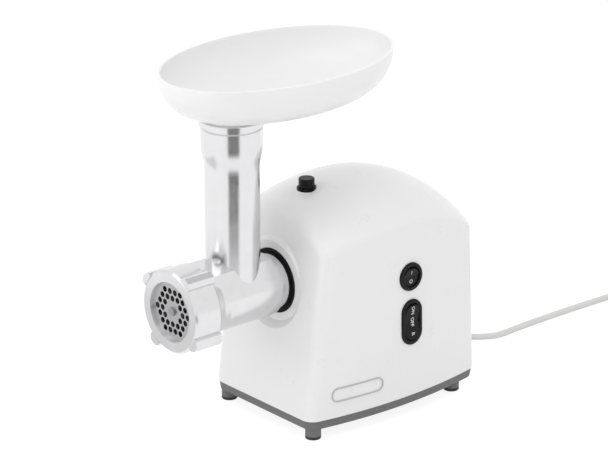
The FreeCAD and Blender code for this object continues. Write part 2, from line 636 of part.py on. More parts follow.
def auger():
    shoulder = BARREL_REAR_Y - SLIDE
    front = KNIFE_REAR_Y + SLIDE
    core = turned_y(AXIS_HEAD, [(0, front), (AUGER_CORE - 1, front), (AUGER_CORE, front + AUGER_TAPER),
                                (AUGER_CORE + 3, shoulder), (0, shoulder)])
    run = shoulder - front - FLIGHT_THICKNESS
    radius = (AUGER_CORE + BARREL_BORE) / 2
    helix = Part.makeHelix(AUGER_PITCH, run, radius)
    half = FLIGHT_THICKNESS / 2
    inner = AUGER_CORE - 2
    outer = BARREL_BORE - SLIDE
    outline = Part.makePolygon([V(inner, 0, -half), V(outer, 0, -half * 0.7), V(outer, 0, half * 0.7),
                                V(inner, 0, half), V(inner, 0, -half)])
    flight = Part.Wire(helix.Edges).makePipeShell([outline], True, True)
    flight.rotate(V(0, 0, 0), V(1, 0, 0), -90)
    flight.translate(V(0, front + half, HEAD_Z))
    journal = rod_y(AXIS_HEAD, AUGER_SHAFT_RADIUS, shoulder, hex_front())
    corner = HEX_FLATS / math.sqrt(3)
    hexagon = prism_y([polar(AXIS_HEAD, corner, 60 * i) for i in range(6)], hex_front(), hex_front() + HEX_LENGTH)
    square = knife_square(0, KNIFE_REAR_Y - KNIFE_THICKNESS, front)
    pin = rod_y(AXIS_HEAD, PIN_RADIUS, PLATE_FRONT_Y - PIN_PROUD, KNIFE_REAR_Y - KNIFE_THICKNESS)
    return core.fuse([flight, journal, hexagon, square, pin]).removeSplitter()


def hex_front():
    return SOCKET_FLOOR_Y - SOCKET_BOSS - 1 - GEAR_GAP - HEX_LENGTH / 2


def knife_square(gap, y0, y1):
    half = KNIFE_SQUARE / 2 + gap
    return box(-half, half, y0, y1, HEAD_Z - half, HEAD_Z + half)


def auger_bush():
    inner = AUGER_SHAFT_RADIUS + RUN
    return tube_y(AXIS_HEAD, inner + BUSH_WALL, inner, BARREL_REAR_Y, hex_front() - FIT)


def knife():
    """Four swept blades on a hub with a square hole."""
    y0 = KNIFE_REAR_Y - KNIFE_THICKNESS
    hub = rod_y(AXIS_HEAD, KNIFE_SQUARE, y0, KNIFE_REAR_Y)
    blades = []
    for i in range(4):
        outline = [polar(AXIS_HEAD, KNIFE_SQUARE * 0.7, 90 * i - 40), polar(AXIS_HEAD, KNIFE_RADIUS * 0.7, 90 * i - 14),
                   polar(AXIS_HEAD, KNIFE_RADIUS, 90 * i - 6), polar(AXIS_HEAD, KNIFE_RADIUS, 90 * i + 12),
                   polar(AXIS_HEAD, KNIFE_RADIUS * 0.65, 90 * i + 14), polar(AXIS_HEAD, KNIFE_SQUARE * 0.9, 90 * i + 45)]
        blades.append(prism_y(outline, y0, KNIFE_REAR_Y))
    return hub.fuse(blades).cut(knife_square(FIT, y0, KNIFE_REAR_Y)).removeSplitter()


def plate_hole_places():
    """Two hexagonal rings of holes about the middle of the plate."""
    places = []
    for ring in (2, 3):
        for side in range(6):
            start = polar((0, 0), ring * PLATE_HOLE_PITCH, 60 * side)
            step = polar((0, 0), PLATE_HOLE_PITCH, 60 * side + 120)
            places += [(start[0] + i * step[0], HEAD_Z + start[1] + i * step[1]) for i in range(ring)]
    return places


def cutting_plate():
    plate = rod_y(AXIS_HEAD, PLATE_RADIUS, PLATE_FRONT_Y, PLATE_REAR_Y)
    cuts = [rod_y(place, PLATE_HOLE_RADIUS, PLATE_FRONT_Y, PLATE_REAR_Y) for place in plate_hole_places()]
    cuts.append(rod_y(AXIS_HEAD, PIN_RADIUS + RUN, PLATE_FRONT_Y, PLATE_REAR_Y))
    cuts.append(box(-KEY_WIDTH / 2 - SLIDE, KEY_WIDTH / 2 + SLIDE, PLATE_FRONT_Y, PLATE_REAR_Y,
                    HEAD_Z - PLATE_RADIUS - 1, HEAD_Z - PLATE_RADIUS + KEY_DEPTH + 2 * SLIDE))
    return plate.cut(cuts)


def ring_nut():
    bore = THREAD_RADIUS + SLIDE
    edge = 1.5
    body = turned_y(AXIS_HEAD, [(NUT_OPENING_RADIUS, NUT_FRONT_Y), (NUT_RADIUS - edge, NUT_FRONT_Y),
                                (NUT_RADIUS, NUT_FRONT_Y + edge), (NUT_RADIUS, NUT_REAR_Y - edge),
                                (NUT_RADIUS - edge, NUT_REAR_Y), (bore, NUT_REAR_Y),
                                (bore, NUT_FRONT_Y + NUT_LIP), (NUT_OPENING_RADIUS, NUT_FRONT_Y + NUT_LIP)])
    half = LUG_WIDTH / 2
    lugs = []
    for i in range(LUG_COUNT):
        outline = [(bore + edge, -half), (LUG_RADIUS - edge * 2, -half), (LUG_RADIUS, -half + edge * 2),
                   (LUG_RADIUS, half - edge * 2), (LUG_RADIUS - edge * 2, half), (bore + edge, half)]
        lug = prism_y([(x, HEAD_Z + z) for x, z in outline], NUT_FRONT_Y, NUT_REAR_Y)
        lug.rotate(V(0, 0, HEAD_Z), V(0, -1, 0), LUG_ANGLE + 360 / LUG_COUNT * i)
        lugs.append(lug)
    return body.fuse(lugs).removeSplitter()


def tray_bowl(inset):
    """The tray's outside, or its inside with an inset: ellipses that grow along a rounded wall."""
    wires = []
    for i in range(TRAY_SECTIONS):
        angle = math.pi / 2 * i / (TRAY_SECTIONS - 1)
        spread = math.sin(angle) ** (2 / TRAY_CURVE)
        rise = 1 - math.cos(angle) ** (2 / TRAY_CURVE)
        width = TRAY_FLOOR_HALF_WIDTH + (TRAY_HALF_WIDTH - TRAY_FLOOR_HALF_WIDTH) * spread - inset
        length = TRAY_FLOOR_HALF_LENGTH + (TRAY_HALF_LENGTH - TRAY_FLOOR_HALF_LENGTH) * spread - inset
        floor = TRAY_FLOOR_Z + inset
        z = floor + (TRAY_RIM_Z - floor) * rise
        rim = Part.Ellipse(V(0, TRAY_CENTRE_Y + length, z), V(width, TRAY_CENTRE_Y, z), V(0, TRAY_CENTRE_Y, z))
        wires.append(Part.Wire(rim.toShape()))
    return Part.makeLoft(wires, True)


def food_tray():
    spout = TUBE_BORE - SLIDE
    collar = Part.makeCone(TUBE_RADIUS + TUBE_FLARE, TUBE_RADIUS + TUBE_FLARE + 2, TRAY_FLOOR_Z - TUBE_TOP_Z + 4,
                           V(0, TUBE_Y, TUBE_TOP_Z))
    neck = rod_z(0, TUBE_Y, spout, TUBE_TOP_Z - SPOUT_LENGTH, TRAY_FLOOR_Z + 1)
    outer = tray_bowl(0.0).fuse([collar, neck])
    throat = rod_z(0, TUBE_Y, spout - SPOUT_WALL, TUBE_TOP_Z - SPOUT_LENGTH, TRAY_RIM_Z)
    return outer.cut([tray_bowl(TRAY_WALL), throat]).removeSplitter()


def collar_ring():
    inner = NECK_RADIUS + 2 * FIT
    front = PAD_Y - COLLAR_PROUD
    return turned_y(AXIS_HEAD, [(inner, front), (COLLAR_RADIUS - 0.6, front), (COLLAR_RADIUS, front + 0.6),
                                (COLLAR_RADIUS, PAD_Y + 5), (SOCKET_RADIUS + FIT, PAD_Y + 5),
                                (SOCKET_RADIUS + FIT, PAD_Y + 0.6), (inner, PAD_Y + 0.6)])


# Lock
def button_bezel():
    inner = BUTTON_RADIUS + SLIDE
    top = BUTTON_SEAT_Z + BUTTON_SINK + BEZEL_HEIGHT
    tube = rod_z(0, BUTTON_Y, BEZEL_RADIUS - 0.5 - FIT, BUTTON_SEAT_Z - 2 * HOUSING_WALL, top)
    flange = rod_z(0, BUTTON_Y, BEZEL_RADIUS, BUTTON_SEAT_Z, top)
    return tube.fuse(flange).cut(rod_z(0, BUTTON_Y, inner, ARM_Z, BUTTON_TOP_Z)).removeSplitter()


def lock_button():
    cap = rod_z(0, BUTTON_Y, BUTTON_RADIUS, ARM_Z + ARM_THICKNESS, BUTTON_TOP_Z)
    top = [e for e in cap.Edges if e.BoundBox.ZMin > BUTTON_TOP_Z - 1]
    return cap.makeFillet(0.8, top)


def lock_yoke():
    """Arm under the button, and a frame round the socket with a tooth that holds the head's neck."""
    arm_half = BUTTON_RADIUS + 2
    y1 = YOKE_Y + YOKE_THICKNESS
    inner = SOCKET_RADIUS + HOUSING_WALL
    top = HEAD_Z + SOCKET_RADIUS + BUTTON_TRAVEL + 1
    low = HEAD_Z - SOCKET_RADIUS - 1
    pieces = [box(-arm_half, arm_half, YOKE_Y, BUTTON_Y + arm_half, ARM_Z, ARM_Z + ARM_THICKNESS),
              box(-arm_half, arm_half, YOKE_Y, y1, top, ARM_Z + ARM_THICKNESS),
              box(-YOKE_HALF_WIDTH, YOKE_HALF_WIDTH, YOKE_Y, y1, top, top + YOKE_BAR),
              box(-YOKE_HALF_WIDTH, YOKE_HALF_WIDTH, YOKE_Y, y1, low - YOKE_BAR, low),
              box(-TOOTH_WIDTH / 2, TOOTH_WIDTH / 2, YOKE_Y, y1, low, HEAD_Z - NECK_RADIUS + TOOTH_DEPTH)]
    for side in (-1, 1):
        x = sorted([side * inner, side * YOKE_HALF_WIDTH])
        pieces.append(box(x[0], x[1], YOKE_Y, y1, low - YOKE_BAR, top + YOKE_BAR))
    return fused(pieces)


def lock_spring():
    """Closed-end compression spring between the gearbox and the arm."""
    height = ARM_Z - SPRING_SEAT_Z - 2 * SLIDE - SPRING_WIRE
    helix = Part.makeHelix(height / SPRING_TURNS, height, SPRING_RADIUS)
    wire = Part.Wire(Part.makeCircle(SPRING_WIRE / 2, V(SPRING_RADIUS, 0, 0), V(0, 1, 0)))
    coil = Part.Wire(helix.Edges).makePipeShell([wire], True, True)
    coil.translate(V(0, BUTTON_Y, SPRING_SEAT_Z + SLIDE + SPRING_WIRE / 2))
    return coil


# Switches
def power_switch():
    opening = POWER_RADIUS - SWITCH_RIM
    flange = rod_x(0, 0, POWER_RADIUS, -SWITCH_SEAT, SWITCH_PROUD)
    front = [e for e in flange.Edges if e.BoundBox.XMin > SWITCH_PROUD - 0.1]
    flange = flange.makeFillet(0.9, front)
    body = rod_x(0, 0, POWER_RADIUS - 1.2, -SWITCH_DEPTH, -SWITCH_SEAT)
    tabs = [box(-SWITCH_DEPTH - 8, -SWITCH_DEPTH, y - 0.4, y + 0.4, -3, 3) for y in (-5, 0, 5)]
    room = rod_x(0, 0, opening, ROCKER_PIVOT - ROCKER_BACK - ROCKER_ROOM, SWITCH_PROUD)
    cuts = [room, pivot_pin(opening + SLIDE, RUN)]
    return switch_place(flange.fuse([body] + tabs).cut(cuts).removeSplitter(), POWER_Y, POWER_Z)


def pivot_pin(half_width, gap):
    """A rocker's pin into both walls of its switch, or with a gap the holes it turns in."""
    half = half_width + PIVOT_REACH
    return rod_y((ROCKER_PIVOT, 0), PIVOT_RADIUS + gap, -half, half)


def rocker_block(reach, half_width):
    """Rocker body round its pivot on Y: a shallow V in front, flat behind."""
    tip = ROCKER_VALLEY + reach * math.tan(math.radians(ROCKER_TILT))
    back = ROCKER_PIVOT - ROCKER_BACK
    outline = [(back, -reach), (tip, -reach), (ROCKER_VALLEY, 0), (tip, reach), (back, reach)]
    return prism_y(outline, -half_width, half_width)


def power_rocker():
    reach = POWER_RADIUS - SWITCH_RIM - ROCKER_GAP
    ball = Part.makeSphere(reach, V(ROCKER_PIVOT, 0, 0), V(1, 0, 0))
    rocker = rocker_block(reach + 1, reach + 1).common(ball)
    rocker.rotate(V(ROCKER_PIVOT, 0, 0), V(0, 1, 0), ROCKER_TILT)
    rocker = rocker.fuse(pivot_pin(POWER_RADIUS - SWITCH_RIM, 0))
    return switch_place(rocker, POWER_Y, POWER_Z)


def direction_switch():
    flange = stadium_x(DIRECTION_HALF_WIDTH, DIRECTION_HALF_HEIGHT, -SWITCH_SEAT, SWITCH_PROUD)
    front = [e for e in flange.Edges if e.BoundBox.XMin > SWITCH_PROUD - 0.1]
    flange = flange.makeFillet(0.9, front)
    body = stadium_x(DIRECTION_HALF_WIDTH - 1.2, DIRECTION_HALF_HEIGHT - 1.2, -SWITCH_DEPTH, -SWITCH_SEAT)
    tabs = [box(-SWITCH_DEPTH - 8, -SWITCH_DEPTH, -3, 3, z - 0.4, z + 0.4) for z in (-10, 0, 10)]
    room = stadium_x(DIRECTION_HALF_WIDTH - SWITCH_RIM, DIRECTION_HALF_HEIGHT - SWITCH_RIM,
                     ROCKER_PIVOT - ROCKER_BACK - 2 * ROCKER_ROOM, SWITCH_PROUD)
    cuts = [room, pivot_pin(DIRECTION_HALF_WIDTH - SWITCH_RIM + SLIDE, RUN)]
    return switch_place(flange.fuse([body] + tabs).cut(cuts).removeSplitter(), DIRECTION_Y, DIRECTION_Z)


def direction_rocker():
    half_width = DIRECTION_HALF_WIDTH - SWITCH_RIM - ROCKER_GAP
    reach = DIRECTION_HALF_HEIGHT - SWITCH_RIM - 2 * ROCKER_GAP
    back = ROCKER_PIVOT - ROCKER_BACK
    round_end = Part.makeCylinder(reach, 2 * half_width, V(ROCKER_PIVOT, -half_width, 0), V(0, 1, 0))
    outline = stadium_x(half_width, reach, back, reach)
    rocker = rocker_block(reach, half_width).common(round_end).common(outline)
    rocker = rocker.fuse(pivot_pin(DIRECTION_HALF_WIDTH - SWITCH_RIM, 0))
    return switch_place(rocker, DIRECTION_Y, DIRECTION_Z)


# Gearbox
def gear(axis, module, teeth, addendum, bore, y0, y1, tooth_angle):
    """Spur gear with straight-faceted involute flanks; one tooth points along tooth_angle."""
    pitch = module * teeth / 2
    base = pitch * math.cos(math.radians(PRESSURE_ANGLE))
    tip = pitch + addendum * module
    root = pitch - DEDENDUM * module

    def involute(radius):
        roll = math.acos(min(1.0, base / radius))
        return math.degrees(math.tan(roll) - roll)
    half_tooth = 90 / teeth - math.degrees(BACKLASH / 2 / pitch)
    steps = [max(base, root), (max(base, root) + tip) / 2, tip]
    flank = [(radius, half_tooth + involute(pitch) - involute(radius)) for radius in steps]
    flank = [(root, flank[0][1])] + flank
    points = []
    for i in range(teeth):
        centre = tooth_angle + 360 * i / teeth
        points += [polar(axis, radius, centre - angle) for radius, angle in flank]
        points += [polar(axis, radius, centre + angle) for radius, angle in reversed(flank)]
    return prism_y(points, y0, y1).cut(rod_y(axis, bore, y0, y1))


def direction(start, end):
    return math.degrees(math.atan2(end[1] - start[1], end[0] - start[0]))


def ear_places():
    reach = CASE_WALL + CAVITY_ROOM + 2
    slow = SLOW_MODULE * SLOW_WHEEL_TEETH / 2 + reach
    fast = FAST_MODULE * FAST_WHEEL_TEETH / 2 + reach
    return [polar(AXIS_HEAD, slow, 40), polar(AXIS_HEAD, slow, 140),
            polar(AXIS_HEAD, slow, -30), polar(AXIS_MIDDLE, fast, 200)]


def gear_outline(extra, y0, y1):
    slow = SLOW_MODULE * (SLOW_WHEEL_TEETH / 2 + WHEEL_ADDENDUM) + CAVITY_ROOM + extra
    fast = FAST_MODULE * (FAST_WHEEL_TEETH / 2 + WHEEL_ADDENDUM) + CAVITY_ROOM + extra
    small = BEARING_RADIUS + CAVITY_ROOM + extra
    return fused([rod_y(AXIS_HEAD, slow, y0, y1), rod_y(AXIS_MIDDLE, fast, y0, y1), rod_y(AXIS_MOTOR, small, y0, y1)])


def case_screw_places():
    middle = (CAVITY_FRONT_Y + CAVITY_REAR_Y) / 2
    return [(-BEARING_RADIUS, middle), (BEARING_RADIUS, middle)]


def gearbox_case():
    floor_top = BASE_BOTTOM_Z + BASE_FLOOR
    inner = NECK_RADIUS + FIT
    foot_half = BEARING_RADIUS + BOSS_RADIUS
    pedestal = box(-foot_half, foot_half, CAVITY_FRONT_Y, CAVITY_REAR_Y - CASE_WALL, floor_top, MOTOR_Z)
    seat = box(-SPRING_RADIUS * 1.6, SPRING_RADIUS * 1.6, CAVITY_FRONT_Y, CAVITY_REAR_Y - 2 * CASE_WALL,
               HEAD_Z, SPRING_SEAT_Z)
    peg = rod_z(0, BUTTON_Y, SPRING_RADIUS - SPRING_WIRE - SLIDE, SPRING_SEAT_Z - 1, SPRING_SEAT_Z + 3)
    solids = [gear_outline(CASE_WALL, SOCKET_FLOOR_Y, CAVITY_REAR_Y), pedestal, seat, peg,
              rod_y(AXIS_HEAD, SOCKET_RADIUS, PAD_Y + 0.8, SOCKET_FLOOR_Y)]
    solids += [rod_y(place, EAR_RADIUS, CAVITY_FRONT_Y, CAVITY_REAR_Y) for place in ear_places()]
    bush = OUTPUT_RADIUS + RUN + BUSH_WALL + FIT
    boss = rod_y(AXIS_HEAD, OUTPUT_RADIUS + 2 * BUSH_WALL, SOCKET_FLOOR_Y - SOCKET_BOSS, SOCKET_FLOOR_Y)
    slot = box(-TOOTH_WIDTH / 2 - SLIDE, TOOTH_WIDTH / 2 + SLIDE, YOKE_Y - SLIDE, YOKE_Y + YOKE_THICKNESS + SLIDE,
               HEAD_Z - SOCKET_RADIUS - 1, HEAD_Z - NECK_RADIUS + 1)
    socket = rod_y(AXIS_HEAD, inner, PAD_Y, SOCKET_FLOOR_Y)
    cuts = [gear_outline(0, CAVITY_FRONT_Y, CAVITY_REAR_Y), slot,
            rod_y(AXIS_MIDDLE, AXLE_RADIUS + FIT, CAVITY_FRONT_Y - CASE_FLOOR / 2, CAVITY_FRONT_Y)]
    cuts += [rod_y(place, SCREW_RADIUS + FIT, CAVITY_REAR_Y - 14, CAVITY_REAR_Y) for place in ear_places()]
    cuts += [rod_z(x, y, SCREW_RADIUS + FIT, floor_top, floor_top + 14) for x, y in case_screw_places()]
    shaft_hole = rod_y(AXIS_HEAD, bush, SOCKET_FLOOR_Y - SOCKET_BOSS, CAVITY_FRONT_Y)
    return fused(solids).cut([socket]).fuse(boss).cut(cuts + [shaft_hole]).removeSplitter()


def gearbox_cover():
    post_y = STATOR_FRONT_Y
    solids = [gear_outline(CASE_WALL, CAVITY_REAR_Y, COVER_REAR_Y),
              rod_y(AXIS_MOTOR, BEARING_RADIUS + CASE_WALL, CAVITY_REAR_Y, BEARING_Y + BEARING_WIDTH)]
    solids += [rod_y(place, EAR_RADIUS, CAVITY_REAR_Y, COVER_REAR_Y) for place in ear_places()]
    cuts = [rod_y(AXIS_MOTOR, BEARING_RADIUS + FIT, COVER_REAR_Y, BEARING_Y + BEARING_WIDTH),
            rod_y(AXIS_MOTOR, FAST_MODULE * (FAST_PINION_TEETH / 2 + PINION_ADDENDUM) + 1, CAVITY_REAR_Y, COVER_REAR_Y),
            rod_y(AXIS_MIDDLE, AXLE_RADIUS + FIT, CAVITY_REAR_Y, CAVITY_REAR_Y + COVER_THICKNESS / 2),
            rod_y(AXIS_HEAD, OUTPUT_REAR_RADIUS + RUN, CAVITY_REAR_Y, COVER_REAR_Y)]
    cuts += [rod_y(place, SCREW_RADIUS + FIT, CAVITY_REAR_Y, COVER_REAR_Y) for place in ear_places()]
    for x in (-BRACKET_ARM_X, BRACKET_ARM_X):
        solids.append(rod_y((x, MOTOR_Z), BRACKET_ARM_RADIUS, CAVITY_REAR_Y, post_y))
        cuts.append(rod_y((x, MOTOR_Z), MOTOR_SCREW_RADIUS + FIT, CAVITY_REAR_Y + 2, post_y))
        bridge = sorted([0, x])
        solids.append(box(bridge[0], bridge[1], CAVITY_REAR_Y, COVER_REAR_Y, MOTOR_Z - BRACKET_ARM_RADIUS,
                          MOTOR_Z + BRACKET_ARM_RADIUS))
    return fused(solids).cut(cuts).removeSplitter()


def screw_y(place, radius, head_radius, head_y, tip_y):
    head = rod_y(place, head_radius, head_y, head_y + SCREW_HEAD_HEIGHT)
    return head.fuse(rod_y(place, radius, tip_y, head_y)).removeSplitter()


def cover_screws():
    return Part.makeCompound([screw_y(place, SCREW_RADIUS, SCREW_HEAD_RADIUS, COVER_REAR_Y, CAVITY_REAR_Y - 12)
                              for place in ear_places()])


def case_screws():
    screws = []
    for x, y in case_screw_places():
        head = rod_z(x, y, SCREW_HEAD_RADIUS, BASE_BOTTOM_Z - SCREW_HEAD_HEIGHT, BASE_BOTTOM_Z)
        screws.append(head.fuse(rod_z(x, y, SCREW_RADIUS, BASE_BOTTOM_Z, BASE_BOTTOM_Z + BASE_FLOOR + 12)).removeSplitter())
    return Part.makeCompound(screws)


def output_bush():
    inner = OUTPUT_RADIUS + RUN
    return tube_y(AXIS_HEAD, inner + BUSH_WALL, inner, SOCKET_FLOOR_Y - SOCKET_BOSS, CAVITY_FRONT_Y)


def output_shaft():
    front = hex_front() + 1
    hub = OUTPUT_RADIUS + 1
    shaft = turned_y(AXIS_HEAD, [(0, front), (OUTPUT_RADIUS, front), (OUTPUT_RADIUS, CAVITY_FRONT_Y + GEAR_GAP / 2),
                                 (hub, CAVITY_FRONT_Y + GEAR_GAP / 2), (hub, SLOW_Y + SLOW_FACE),
                                 (hub + 2, SLOW_Y + SLOW_FACE), (hub + 2, SLOW_Y + SLOW_FACE + GEAR_GAP),
                                 (OUTPUT_REAR_RADIUS, SLOW_Y + SLOW_FACE + GEAR_GAP),
                                 (OUTPUT_REAR_RADIUS, COVER_REAR_Y - 0.5), (0, COVER_REAR_Y - 0.5)])
    corner = (HEX_FLATS + 2 * FIT) / math.sqrt(3)
    socket = prism_y([polar(AXIS_HEAD, corner, 60 * i) for i in range(6)], front, hex_front() + HEX_LENGTH + FIT)
    return shaft.cut(socket)


def output_gear():
    tooth = direction(AXIS_HEAD, AXIS_MIDDLE) + 180 / SLOW_WHEEL_TEETH
    wheel = gear(AXIS_HEAD, SLOW_MODULE, SLOW_WHEEL_TEETH, WHEEL_ADDENDUM, OUTPUT_RADIUS + 1 + FIT,
                 SLOW_Y, SLOW_Y + SLOW_FACE, tooth)
    rim = SLOW_MODULE * SLOW_WHEEL_TEETH / 2 - 6
    web = tube_y(AXIS_HEAD, rim, OUTPUT_RADIUS + 6, SLOW_Y, SLOW_Y + SLOW_FACE / 3)
    return wheel.cut([web])


def intermediate_pinion():
    tooth = direction(AXIS_MIDDLE, AXIS_HEAD)
    hub = AXLE_RADIUS + 2
    pinion = gear(AXIS_MIDDLE, SLOW_MODULE, SLOW_PINION_TEETH, PINION_ADDENDUM, AXLE_RADIUS + RUN,
                  SLOW_Y - 1, FAST_Y - 0.5, tooth)
    return pinion.fuse(tube_y(AXIS_MIDDLE, hub, AXLE_RADIUS + RUN, FAST_Y - 0.5, FAST_Y + FAST_FACE)).removeSplitter()


def intermediate_wheel():
    tooth = direction(AXIS_MIDDLE, AXIS_MOTOR) + 180 / FAST_WHEEL_TEETH
    return gear(AXIS_MIDDLE, FAST_MODULE, FAST_WHEEL_TEETH, WHEEL_ADDENDUM, AXLE_RADIUS + 2 + FIT,
                FAST_Y, FAST_Y + FAST_FACE, tooth)


def intermediate_axle():
    return rod_y(AXIS_MIDDLE, AXLE_RADIUS, CAVITY_FRONT_Y - CASE_FLOOR / 2, CAVITY_REAR_Y + COVER_THICKNESS / 2)


# Motor
def motor_shaft():
    pinion = gear(AXIS_MOTOR, FAST_MODULE, FAST_PINION_TEETH, PINION_ADDENDUM, 0.5,
                  FAST_Y - 1, COVER_REAR_Y, direction(AXIS_MOTOR, AXIS_MIDDLE))
    core = JOURNAL_RADIUS
    rear_step = REAR_BEARING_Y - 0.5
    shaft = turned_y(AXIS_MOTOR, [(0, FAST_Y - 1), (core - 0.4, FAST_Y - 1), (core - 0.4, COVER_REAR_Y - 1),
                                  (core, COVER_REAR_Y), (core, FAN_Y - 1), (SHAFT_RADIUS, FAN_Y - 1),
                                  (SHAFT_RADIUS, rear_step), (core, rear_step),
                                  (core, REAR_BEARING_Y + BEARING_WIDTH), (0, REAR_BEARING_Y + BEARING_WIDTH)])
    return shaft.fuse(pinion).removeSplitter()


def motor_bearings():
    bearings = []
    for y in (BEARING_Y, REAR_BEARING_Y):
        ring = tube_y(AXIS_MOTOR, BEARING_RADIUS, JOURNAL_RADIUS + RUN, y, y + BEARING_WIDTH)
        edges = [e for e in ring.Edges if e.Length > 2 * math.pi * BEARING_RADIUS * 0.9]
        bearings.append(ring.makeChamfer(0.4, edges))
    return Part.makeCompound(bearings)


def slot_boxes(width, depth, y0, y1):
    """Bars that stand in the armature's slots, all round the shaft."""
    outer = STATOR_BORE - AIR_GAP
    bars = []
    for i in range(ARMATURE_SLOTS):
        bar = box(outer - depth, outer + 1, y0, y1, MOTOR_Z - width / 2, MOTOR_Z + width / 2)
        bar.rotate(V(0, 0, MOTOR_Z), V(0, 1, 0), 360 / ARMATURE_SLOTS * i)
        bars.append(bar)
    return bars


def armature_core():
    core = tube_y(AXIS_MOTOR, STATOR_BORE - AIR_GAP, SHAFT_RADIUS + FIT, STATOR_FRONT_Y, STATOR_REAR_Y)
    return core.cut(slot_boxes(SLOT_WIDTH, SLOT_DEPTH, STATOR_FRONT_Y, STATOR_REAR_Y))


def armature_winding():
    """Two end turns joined by the bundles that lie in the slots."""
    outer = STATOR_BORE - AIR_GAP - 1
    overhang = COIL_OVERHANG - FIT
    ends = [tube_y(AXIS_MOTOR, outer - 0.5, SHAFT_RADIUS + 2, STATOR_FRONT_Y - overhang, STATOR_FRONT_Y - FIT),
            tube_y(AXIS_MOTOR, outer - 0.5, SHAFT_RADIUS + 2, STATOR_REAR_Y + FIT, STATOR_REAR_Y + overhang)]
    room = rod_y(AXIS_MOTOR, outer, STATOR_FRONT_Y - 1, STATOR_REAR_Y + 1)
    bars = [bar.common(room) for bar in slot_boxes(SLOT_WIDTH - 2 * FIT, SLOT_DEPTH - FIT, STATOR_FRONT_Y - 1,
                                                   STATOR_REAR_Y + 1)]
    return fused(ends + bars)


def commutator():
    ring = tube_y(AXIS_MOTOR, COMMUTATOR_RADIUS, SHAFT_RADIUS + FIT, COMMUTATOR_Y, COMMUTATOR_Y + COMMUTATOR_LENGTH)
    slits = []
    for i in range(COMMUTATOR_BARS):
        slit = box(COMMUTATOR_RADIUS - 1.2, COMMUTATOR_RADIUS + 1, COMMUTATOR_Y, COMMUTATOR_Y + COMMUTATOR_LENGTH - 2,
                   MOTOR_Z - 0.25, MOTOR_Z + 0.25)
        slit.rotate(V(0, 0, MOTOR_Z), V(0, 1, 0), 360 / COMMUTATOR_BARS * i)
        slits.append(slit)
    return ring.cut(slits)


def cooling_fan():
    disc_y = FAN_Y + FAN_DEPTH - 1.2
    hub = rod_y(AXIS_MOTOR, SHAFT_RADIUS + 3, FAN_Y, FAN_Y + FAN_DEPTH)
    pieces = [hub, rod_y(AXIS_MOTOR, FAN_RADIUS, disc_y, FAN_Y + FAN_DEPTH)]
    for i in range(FAN_BLADES):
        blade = box(SHAFT_RADIUS + 2, FAN_RADIUS - 0.5, FAN_Y, disc_y + 0.5, MOTOR_Z - 0.6, MOTOR_Z + 0.6)
        blade.rotate(V(0, 0, MOTOR_Z), V(0, 1, 0), 360 / FAN_BLADES * i)
        pieces.append(blade)
    return fused(pieces).cut(rod_y(AXIS_MOTOR, SHAFT_RADIUS + FIT, FAN_Y, FAN_Y + FAN_DEPTH))


def sector(outer, inner, start, end, y0, y1):
    """Part of a ring about the motor's axis, between two angles from +X."""
    ring = tube_y(AXIS_MOTOR, outer, inner, y0, y1)
    reach = outer * 3
    steps = 4
    fan = [polar(AXIS_MOTOR, reach, start + (end - start) * i / steps) for i in range(steps + 1)]
    return ring.common(prism_y([AXIS_MOTOR] + fan, y0, y1))


def motor_stator():
    core = box(-STATOR_HALF_WIDTH, STATOR_HALF_WIDTH, STATOR_FRONT_Y, STATOR_REAR_Y,
               MOTOR_Z - STATOR_HALF_HEIGHT, MOTOR_Z + STATOR_HALF_HEIGHT)
    edges = [e for e in core.Edges if abs(e.tangentAt(e.FirstParameter).y) > 0.9]
    core = core.makeFillet(8, edges)
    cuts = [rod_y(AXIS_MOTOR, STATOR_BORE, STATOR_FRONT_Y, STATOR_REAR_Y)]
    open_half = 90 - POLE_HALF_ANGLE
    for start in (-open_half, 180 - open_half):
        cuts.append(sector(STATOR_SLOT, STATOR_BORE - 1, start, start + 2 * open_half, STATOR_FRONT_Y, STATOR_REAR_Y))
    cuts += [rod_y((x, MOTOR_Z), MOTOR_SCREW_RADIUS + FIT, STATOR_FRONT_Y, STATOR_REAR_Y)
             for x in (-BRACKET_ARM_X, BRACKET_ARM_X)]
    return core.cut(cuts).removeSplitter()


def field_coils():
    """One loop of winding round each of the two poles."""
    outer = STATOR_SLOT - SLIDE
    inner = STATOR_BORE + SLIDE
    pole = POLE_HALF_ANGLE + 1
    coils = []
    for centre in (90, -90):
        loop = sector(outer, inner, centre - 87, centre + 87, STATOR_FRONT_Y - COIL_OVERHANG, STATOR_REAR_Y + COIL_OVERHANG)
        window = sector(outer + 1, inner - 1, centre - pole, centre + pole, STATOR_FRONT_Y - FIT, STATOR_REAR_Y + FIT)
        coils.append(loop.cut(window))
    return Part.makeCompound(coils)


